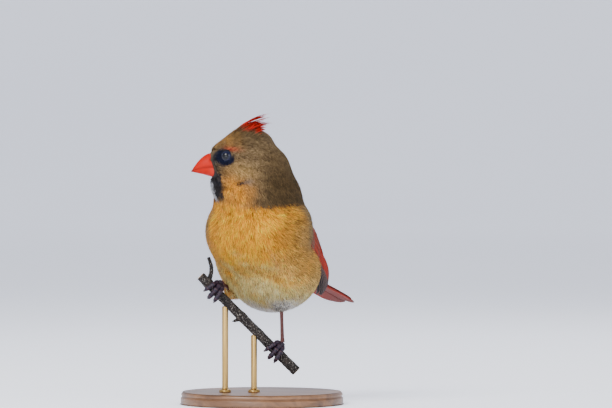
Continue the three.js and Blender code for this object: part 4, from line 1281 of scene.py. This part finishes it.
class CARDINAL_OT_wings(bpy.types.Operator):
    """Makes the flight feathers and coverts of both folded wings"""
    bl_idname = "cardinal.wings"
    bl_label = "Wings"

    def execute(self, context):
        w = context.scene.cardinal_wing
        for side, name in ((1, "left"), (-1, "right")):
            rng = np.random.RandomState(21)
            vanes = [wing_vane(side, f, w, rng) for f in wing_rows(w)]
            put_vanes(f"wing_feathers_{name}", vanes, "wing_feather", f"wing_{name}")
        return {"FINISHED"}


def covert_tufts(root, normal, way, size, tint, rng, barbs=7):
    """Straight soft tufts that taper on to the tail: barbs as slivers that sink towards its middle line."""
    shape = (len(root), barbs)
    across = unit(np.cross(normal, way))
    fan = np.linspace(-1, 1, barbs)[None] + rng.normal(0, 0.15, shape)
    reach = size[:, None] * (1 - 0.15 * fan ** 2) * rng.uniform(0.85, 1.05, shape)
    N, W, A = normal[:, None], way[:, None], across[:, None]
    R = root[:, None] + A * (fan * 0.3)[..., None]
    M = R + W * (reach * 0.5)[..., None] + A * fan[..., None] + N * 0.15
    T = R + W * reach[..., None] + A * (fan * 1.5)[..., None]
    q = T - TAIL_ROOT
    over, left = q @ TAIL_UP, q @ TAIL_LEFT
    # just over or just under the tail's feathers, and no wider than its root
    want_over = np.where(over > -0.5, np.clip(over, 3.4, 6), np.clip(over, -8.5, -5.4))
    T = T + TAIL_UP * (want_over - over)[..., None] * 0.75 - TAIL_LEFT * (left - np.clip(left, -7, 7))[..., None]
    # as on the body's tufts: darker roots, partly grey down and partly painted shade in the depth, a little painted
    # shade on the middle's lower edge, and paler tips
    along = np.array([0.7, 0.7, 0.7, 0.95, 0.95, 0.85, 1.1])[:, None]
    colour = tint[:, None, None, :] * along * (1 + rng.normal(0, 0.3, shape)).clip(0.4)[..., None, None]
    place = np.stack([0.5 + 0.45 * np.sin(np.arange(len(root)) * 1.7), 0.01 + 0.02 * rng.uniform(0, 1, len(root))], -1)
    return slivers(R, M, T, A, N, 0.19, 0.9, place, colour)


class CARDINAL_OT_tail(bpy.types.Operator):
    """Makes the twelve tail feathers and the coverts round their roots"""
    bl_idname = "cardinal.tail"
    bl_label = "Tail"

    def execute(self, context):
        tail, coat = context.scene.cardinal_tail, context.scene.cardinal_coat
        rng = np.random.RandomState(31)
        vanes = [tail_vane(side, k, tail, rng) for side in (1, -1) for k in range(6)]
        put_vanes("tail_feathers", vanes, "tail_feather", "tail")
        # coverts: long soft tufts rooted on the rump's end, over and under the tail's root
        count = 900
        angle = rng.uniform(0, FULL_TURN, count)
        start = on_tail(rng.uniform(18, 33, count), 0.0, -1.0)
        way = np.cos(angle)[:, None] * TAIL_UP + np.sin(angle)[:, None] * TAIL_LEFT
        root = cast(body, start, way, 40, -0.8)
        normal = slope(root)
        along = unit(TAIL_WAY - normal * (normal @ TAIL_WAY)[:, None] * 0.8)
        size = rng.uniform(11, 17, count) * np.where(np.cos(angle) < 0, 1.25, 1.0)
        tint = markings(root, coat)
        tint = mix(tint, tail.upper, ease(np.cos(angle), 0.0, 0.5) * 0.16)
        tint = mix(tint, coat.vent, ease(-np.cos(angle), 0.1, 0.6) * 0.5)
        tint = tint * (1 + rng.normal(0, 0.2, count))[:, None].clip(0.4)
        put_tufts("tail_coverts", covert_tufts(root, normal, along, size, tint, rng))
        return {"FINISHED"}


class CARDINAL_OT_bill(bpy.types.Operator):
    """Makes the upper and lower bill with its mouth line and nostrils"""
    bl_idname = "cardinal.bill"
    bl_label = "Bill"

    def execute(self, context):
        bare = context.scene.cardinal_bare
        for name, ridge, shift, tuck in (("upper", CULMEN, -0.12, 1.0), ("lower", GONYS, 0.3, 0.95)):
            points, quads, caps = mandible(ridge, shift, tuck)
            f, l, u = head_place(points)
            # nostrils: round pits under the feathers of the base, dented in, with painted shade darkening them inside
            nostril = blob(f - 17.6, u - 0.6, 1.0, 0.75) * (name == "upper")
            points = points - HEAD_LEFT * (np.sign(l) * nostril * 0.8)[:, None]
            tint = plain(bare.bill, l.shape)
            if name == "lower":
                tint = mix(tint, bare.bill_pale, ease(21 - f, 0, 5) * 0.8)
            tint = mix(tint, bare.bill_tip, ease(f, 26.5, 30) * 0.7)
            # painted shade: a dark band along the mouth line, where the mandibles meet
            edge = np.interp(f, BILL_RUNS, GAPE)
            tint = mix(tint, bare.bill_tip, np.exp(-((u - edge) / 0.45) ** 2) * 0.7)
            # painted shade in the nostril pits
            tint = mix(tint, "2A1512", nostril * 0.9)
            put_mesh(f"bill_{name}_horn", points, outward(points, quads, caps), bill_horn, "bill_horn",
                     (f"bill_{name}",), tint=tint)
        return {"FINISHED"}


class CARDINAL_OT_eyes(bpy.types.Operator):
    """Makes the eyeballs and the wrinkled lids round them"""
    bl_idname = "cardinal.eyes"
    bl_label = "Eyes"

    def execute(self, context):
        rows, columns = 26, 40
        polar, around = np.meshgrid(np.linspace(0.02, math.pi - 0.02, rows),
                                    np.linspace(0, FULL_TURN, columns, endpoint=False), indexing="ij")
        # the cornea swells a little
        swell = EYEBALL * (1 + 0.03 * np.exp(-(polar / 0.55) ** 2))
        for place, out, name, side in zip(EYE_PLACE, EYE_OUT, ("left", "right"), (1, -1)):
            ahead = np.cross(out, UP) * -side
            ball = (place + out * (swell * np.cos(polar))[..., None]
                    + ahead * (swell * np.sin(polar) * np.cos(around))[..., None]
                    + UP * (swell * np.sin(polar) * np.sin(around))[..., None]).reshape(-1, 3)
            points = np.concatenate([ball, [place + out * EYEBALL * 1.03, place - out * EYEBALL]])
            angle = np.concatenate([polar.ravel(), [0, math.pi]])
            tint = mix(plain("030308", angle.shape), "0E1228", ease(angle, 0.5, 0.6) * (1 - ease(angle, 1.0, 1.2)))
            put_mesh(f"eyeball_{name}", points, outward(points - place, *closed_rings(rows, columns)), wet_eye,
                     "eye_glass", (f"eye_{name}",), tint=tint)
            # lids: two folded rims, closed by running on over their own start
            t = np.linspace(0, FULL_TURN, 61)[:-1]
            t = np.concatenate([t, t[:2]])
            parts = []
            for ring, (wide, tall, thick, proud) in enumerate(((3.75, 3.4, 0.34, 1.5), (4.3, 3.9, 0.46, 1.0))):
                line = (place + out * proud + ahead * (wide * np.cos(t))[:, None]
                        + UP * (tall * np.sin(t) * (1 - 0.08 * np.cos(t)))[:, None])
                wrinkle = 1 + 0.12 * np.sin(t * 23 + ring * 2)
                parts.append(pipe(line, thick * wrinkle, 10, across=out))
            put_pipes(f"eyelids_{name}", parts, lid_skin, "coat_grey")
        return {"FINISHED"}


def toe_path(foot, toe, count=40):
    """A toe's middle line: a turn round the branch that widens and fans along it."""
    start, end, shift, fan, stand, _ = toe
    t = np.linspace(0, 1, count)
    angle = np.radians(start + (end - start) * t)[:, None]
    out = (BRANCH_RADIUS + TOE_RADIUS + GAP + 0.25 + stand * t * t)[:, None]
    return (on_perch(foot["run"] + shift + fan * t) + PERCH_OVER * out * np.cos(angle)
            + TO_VIEWER * out * np.sin(angle)), t


def scute_tint(part, plates, bare, base):
    """Colour of a pipe's scutes: pale lines where one plate ends and the next begins."""
    along = (part[3][:, 1] * plates) % 1
    return mix(plain(base, along.shape), bare.leg_edge, np.exp(-((along - 0.06) / 0.09) ** 2) * 0.75)


SHANK_PLATES = 9
TOE_PLATES = 15


class CARDINAL_OT_legs(bpy.types.Operator):
    """Makes the scaled shanks, the jointed toes and the hooked claws"""
    bl_idname = "cardinal.legs"
    bl_label = "Legs and feet"

    def execute(self, context):
        bare = context.scene.cardinal_bare
        for name, foot in FEET.items():
            low = ankle(foot)
            way = unit(foot["heel"] - low)
            top = float(np.linalg.norm(foot["heel"] - low)) + 1.5
            t = np.linspace(0, 1, 70)
            girth = np.interp(t, [0, 0.1, 0.5, 0.84, 1], [1.3, 1.02, 0.9, 1.02, 1.25]) * TARSUS_RADIUS

            def plate_step(row, angle):
                """Plates step down along the front of the shank, which is smooth behind."""
                front = np.clip(np.cos(angle), 0, 1)
                return 1 + 0.07 * (1 - (t[row] * SHANK_PLATES) % 1) * front - 0.04 * (1 - front)

            shank = pipe(low + way * (0.9 + t * top)[:, None], girth, 20, across=TO_VIEWER, ripple=plate_step)
            put_pipes(f"shank_scutes_{name}", [shank], leg_scales, "leg_scale", (f"shank_{name}",),
                      tint=scute_tint(shank, SHANK_PLATES, bare, bare.leg), mapped=False)
            parts, tints = [], []
            for toe in TOES.values():
                path, t2 = toe_path(foot, toe)
                knuckle = 1.26 + 0.14 * np.cos(t2 * FULL_TURN * 3.5) * (t2 > 0.08) - 0.2 * t2
                part = pipe(path, TOE_RADIUS * toe[5] * knuckle, 14,
                            ripple=lambda row, angle: 1 + 0.05 * (1 - (t2[row] * TOE_PLATES) % 1))
                parts.append(part)
                tints.append(scute_tint(part, TOE_PLATES, bare, bare.toe) * 0.9)
            # the pad where the toes meet, under the ankle
            pad_line = smooth_path([low + PERCH_OVER * shift for shift in (0.9, -0.6, -2.4)], 14)
            parts.append(pipe(pad_line, 2.0 * np.sin(np.linspace(0.5, 2.7, 14)) ** 0.6, 16))
            tints.append(scute_tint(parts[-1], 5, bare, bare.toe))
            put_pipes(f"toes_{name}", parts, leg_scales, "leg_scale", (f"foot_{name}",), np.concatenate(tints))
            for toe_name, toe in TOES.items():
                path, _ = toe_path(foot, toe, 9)
                end = path[-1]
                ahead = unit(end - path[-2])
                inward = unit(on_perch(foot["run"] + toe[2] + toe[3]) - end)
                s = np.linspace(0, 1, 22)
                line = (end + ahead * (GAP * 0.2 + CLAW_LENGTH * 0.62 * np.sin(s * 1.35))[:, None]
                        + inward * (CLAW_LENGTH * 0.6 * (1 - np.cos(s * 1.5)))[:, None])
                claw = pipe(line, np.maximum(TOE_RADIUS * 0.78 * (1 - s) ** 0.7, 0.07), 14, flat=0.8)
                put_pipes(f"claw_horn_{name}_{toe_name}", [claw], claw_keratin, "claw_horn",
                          (f"claw_{name}_{toe_name}",))
        return {"FINISHED"}


class CARDINAL_OT_perch(bpy.types.Operator):
    """Makes the cut branch with its bark, its bud, its side twig and its sawn ends"""
    bl_idname = "cardinal.perch"
    bl_label = "Branch"

    def execute(self, context):
        # thicker towards the lower end, and swollen at the twig and at the bud
        run = np.linspace(0, PERCH_LENGTH, 240)
        radius = (BRANCH_RADIUS * (0.94 + 0.12 * run / PERCH_LENGTH) + 0.55 * np.exp(-((run - 7) / 2.4) ** 2)
                  + 0.35 * np.exp(-((run - 37) / 2) ** 2))
        line = on_perch(run)

        def bark(row, angle):
            """Lumps all over and long ridges, as noise on a cylinder 3 mm in radius."""
            p = np.stack(np.broadcast_arrays(run[row], 3 * np.cos(angle), 3 * np.sin(angle)), -1)
            return 1 + 0.035 * wobble(p, 3.5, 8) + 0.03 * wobble(p * [0.25, 1.6, 1.6], 2.0, 9)

        joint, low = on_perch(6.0), on_perch(37.0)
        twig = smooth_path([joint, joint + PERCH_OVER * 5 - PERCH_WAY * 2, joint + PERCH_OVER * 9 - PERCH_WAY * 5.5,
                            joint + PERCH_OVER * 12 - PERCH_WAY * 11], 60)
        bud = smooth_path([low, low - PERCH_OVER * 4 - PERCH_WAY, low - PERCH_OVER * 6.5 - PERCH_WAY * 2.4], 24)
        parts = [
            pipe(line, radius, 36, ripple=bark),
            pipe(twig, np.interp(np.linspace(0, 1, 60), [0, 0.35, 0.7, 1], [1.9, 1.4, 1.25, 1.05]), 18,
                 ripple=lambda row, angle: 1 + 0.07 * np.sin(row * 0.7 + 3 * angle) * np.sin(row * 0.23)),
            pipe(bud, 1.45 * (1 - np.linspace(0, 0.97, 24) ** 2.2), 14,
                 ripple=lambda row, angle: 1 + 0.10 * np.sin(row * 0.9 + angle * 2)),
        ]
        put_pipes("branch_bark", parts, weathered_bark, "bark", ("perch",))
        for name, row, way in (("upper", 0, -0.25), ("lower", -1, 0.25)):
            disc = pipe([line[row] - PERCH_WAY * way * 3, line[row] + PERCH_WAY * way], radius[row] * 0.86, 28)
            put_pipes(f"branch_cut_{name}", [disc], cut_wood, "bark")
        return {"FINISHED"}


BASE_TOP = 8.0


def spun(profile, columns):
    """A profile of radii and heights turned round the upright axis, as rings of points."""
    turn = np.linspace(0, FULL_TURN, columns, endpoint=False)
    ring = np.broadcast_arrays(profile[:, :1] * np.cos(turn), profile[:, :1] * np.sin(turn), profile[:, 1:])
    return np.stack(ring, -1).reshape(-1, 3)


class CARDINAL_OT_stand(bpy.types.Operator):
    """Makes the turned wooden base and the two brass rods"""
    bl_idname = "cardinal.stand"
    bl_label = "Stand"

    def execute(self, context):
        profile = smooth_path([(0.01, 0.0), (30, 0.0), (50.8, 0.0), (51.6, 0.25), (52, 0.9), (52, 3.6), (51.7, 4.4),
                               (51.1, 4.8), (51.1, 5.2), (51.6, 5.6), (51.7, 6.4), (51.3, 7.3), (50.4, 7.85),
                               (49, BASE_TOP), (30, BASE_TOP), (0.01, BASE_TOP)], 120)
        profile[:, 1] = np.clip(profile[:, 1], 0, BASE_TOP)
        points = np.concatenate([spun(profile, 180), [UP * 0, UP * BASE_TOP]])
        put_mesh("base_walnut", points, outward(points, *closed_rings(len(profile), 180)), oiled_walnut, "stand_wood",
                 ("stand_base",))
        for name, run in (("short", 48.0), ("tall", 22.0)):
            top = on_perch(run)
            foot = np.array([top[0], top[1], BASE_TOP])
            height = top[2] - BASE_TOP - BRANCH_RADIUS * 1.25
            h = np.array([0.0, 0.4, 1.2, 1.8, 2.2, 2.6, 5, 20, height * 0.6, height - 3, height - 0.6, height])
            r = np.array([3.6, 3.9, 3.9, 3.4, 2.4, 2.0, 2.0, 2.0, 2.0, 2.0, 2.0, 1.6])
            steps = np.linspace(0, len(h) - 1, 90)
            heights = np.interp(steps, np.arange(len(h)), h)
            radii = np.interp(steps, np.arange(len(h)), r)
            rod = pipe(foot + heights[:, None] * UP, radii, 40, across=(1, 0, 0))
            put_pipes(f"rod_brass_{name}", [rod], satin_brass, "stand_brass", (f"stand_rod_{name}",), mapped=False)
        return {"FINISHED"}


# Lamps: across the view, up and toward the viewer from the target, size, and power in watts
LAMPS = (
    ("key", -700, 1100, 1100, 900, 36),
    ("fill", 900, 500, 1000, 1100, 8),
    ("rim", 300, 1000, -900, 700, 8),
    ("low", -350, -40, 1300, 800, 10),
)
TARGET = VIEW_RIGHT * 28.2 + UP * 128.0


def direction_turn(way):
    """The turn that points a lamp or camera along a direction."""
    return Vector(way).to_track_quat("-Z", "Y").to_euler()


class CARDINAL_OT_stage(bpy.types.Operator):
    """Makes the floor, the backdrop, the soft lights and the camera"""
    bl_idname = "cardinal.stage"
    bl_label = "Stage"

    def execute(self, context):
        settings = context.scene.cardinal_stage
        # a round cove: a flat floor that sweeps up into a low wall on every side
        arc = np.linspace(0, math.pi / 2, 14)
        profile = np.concatenate([[[1, 0], [1500, 0], [4000, 0]],
                                  np.stack([5000 + 2600 * np.sin(arc), 2600 - 2600 * np.cos(arc)], -1), [[7600, 3600]]])
        points = spun(profile, 96) - UP * 0.15
        put_mesh("studio_cove", points, [grid_faces(len(profile), 96, True)], stage_paper, None)
        world = bpy.data.worlds.new("studio_air")
        world.use_nodes = True
        air = world.node_tree.nodes["Background"]
        air.inputs["Color"].default_value = (*linear("D5D9E6"), 1)
        air.inputs["Strength"].default_value = 0.8
        context.scene.world = world
        for name, across, up, toward, size, power in LAMPS:
            light = bpy.data.lights.new(name, "AREA")
            light.size, light.energy = size / PER_METRE, power
            lamp = bpy.data.objects.new(name, light)
            place = TARGET + VIEW_RIGHT * across + UP * up + TO_VIEWER * toward
            lamp.location = place / PER_METRE
            lamp.rotation_euler = direction_turn(TARGET - place)
            context.scene.collection.objects.link(lamp)
        camera = bpy.data.objects.new("camera", bpy.data.cameras.new("camera"))
        camera.data.lens, camera.data.sensor_width = settings.lens, 36
        camera.data.clip_start, camera.data.clip_end = 0.05, 50
        view = TO_VIEWER * math.cos(settings.elevation) + UP * math.sin(settings.elevation)
        camera.location = TARGET / PER_METRE + view * settings.distance
        camera.rotation_euler = direction_turn(-view)
        context.scene.collection.objects.link(camera)
        context.scene.camera = camera
        return {"FINISHED"}


STEPS = ("stage", "skin", "coat", "crest", "wings", "tail", "bill", "eyes", "legs", "perch", "stand")
GROUPS = {"cardinal_coat": CARDINAL_PG_coat, "cardinal_wing": CARDINAL_PG_wing, "cardinal_tail": CARDINAL_PG_tail,
          "cardinal_bare": CARDINAL_PG_bare, "cardinal_stage": CARDINAL_PG_stage}


class CARDINAL_PT_sidebar(bpy.types.Panel):
    """The bird's pieces and their settings"""
    bl_label = "Cardinal"
    bl_idname = "CARDINAL_PT_sidebar"
    bl_space_type = "VIEW_3D"
    bl_region_type = "UI"
    bl_category = "Cardinal"

    def draw(self, context):
        for step in STEPS:
            self.layout.operator(f"cardinal.{step}")
        for key, group in GROUPS.items():
            box = self.layout.box()
            for name in group.__annotations__:
                box.prop(getattr(context.scene, key), name)


CLASSES = (*GROUPS.values(), CARDINAL_OT_skin, CARDINAL_OT_coat, CARDINAL_OT_crest, CARDINAL_OT_wings,
           CARDINAL_OT_tail, CARDINAL_OT_bill, CARDINAL_OT_eyes, CARDINAL_OT_legs, CARDINAL_OT_perch,
           CARDINAL_OT_stand, CARDINAL_OT_stage, CARDINAL_PT_sidebar)


def register():
    """Registers the classes and hangs each group of settings on the scene."""
    for cls in CLASSES:
        bpy.utils.register_class(cls)
    for key, group in GROUPS.items():
        setattr(bpy.types.Scene, key, bpy.props.PointerProperty(type=group))


def unregister():
    """Takes away what register adds, in reverse."""
    for key in GROUPS:
        delattr(bpy.types.Scene, key)
    for cls in reversed(CLASSES):
        bpy.utils.unregister_class(cls)


def main():
    """Makes every piece in order."""
    register()
    for step in STEPS:
        getattr(bpy.ops.cardinal, step)()


if __name__ == "__main__":
    main()
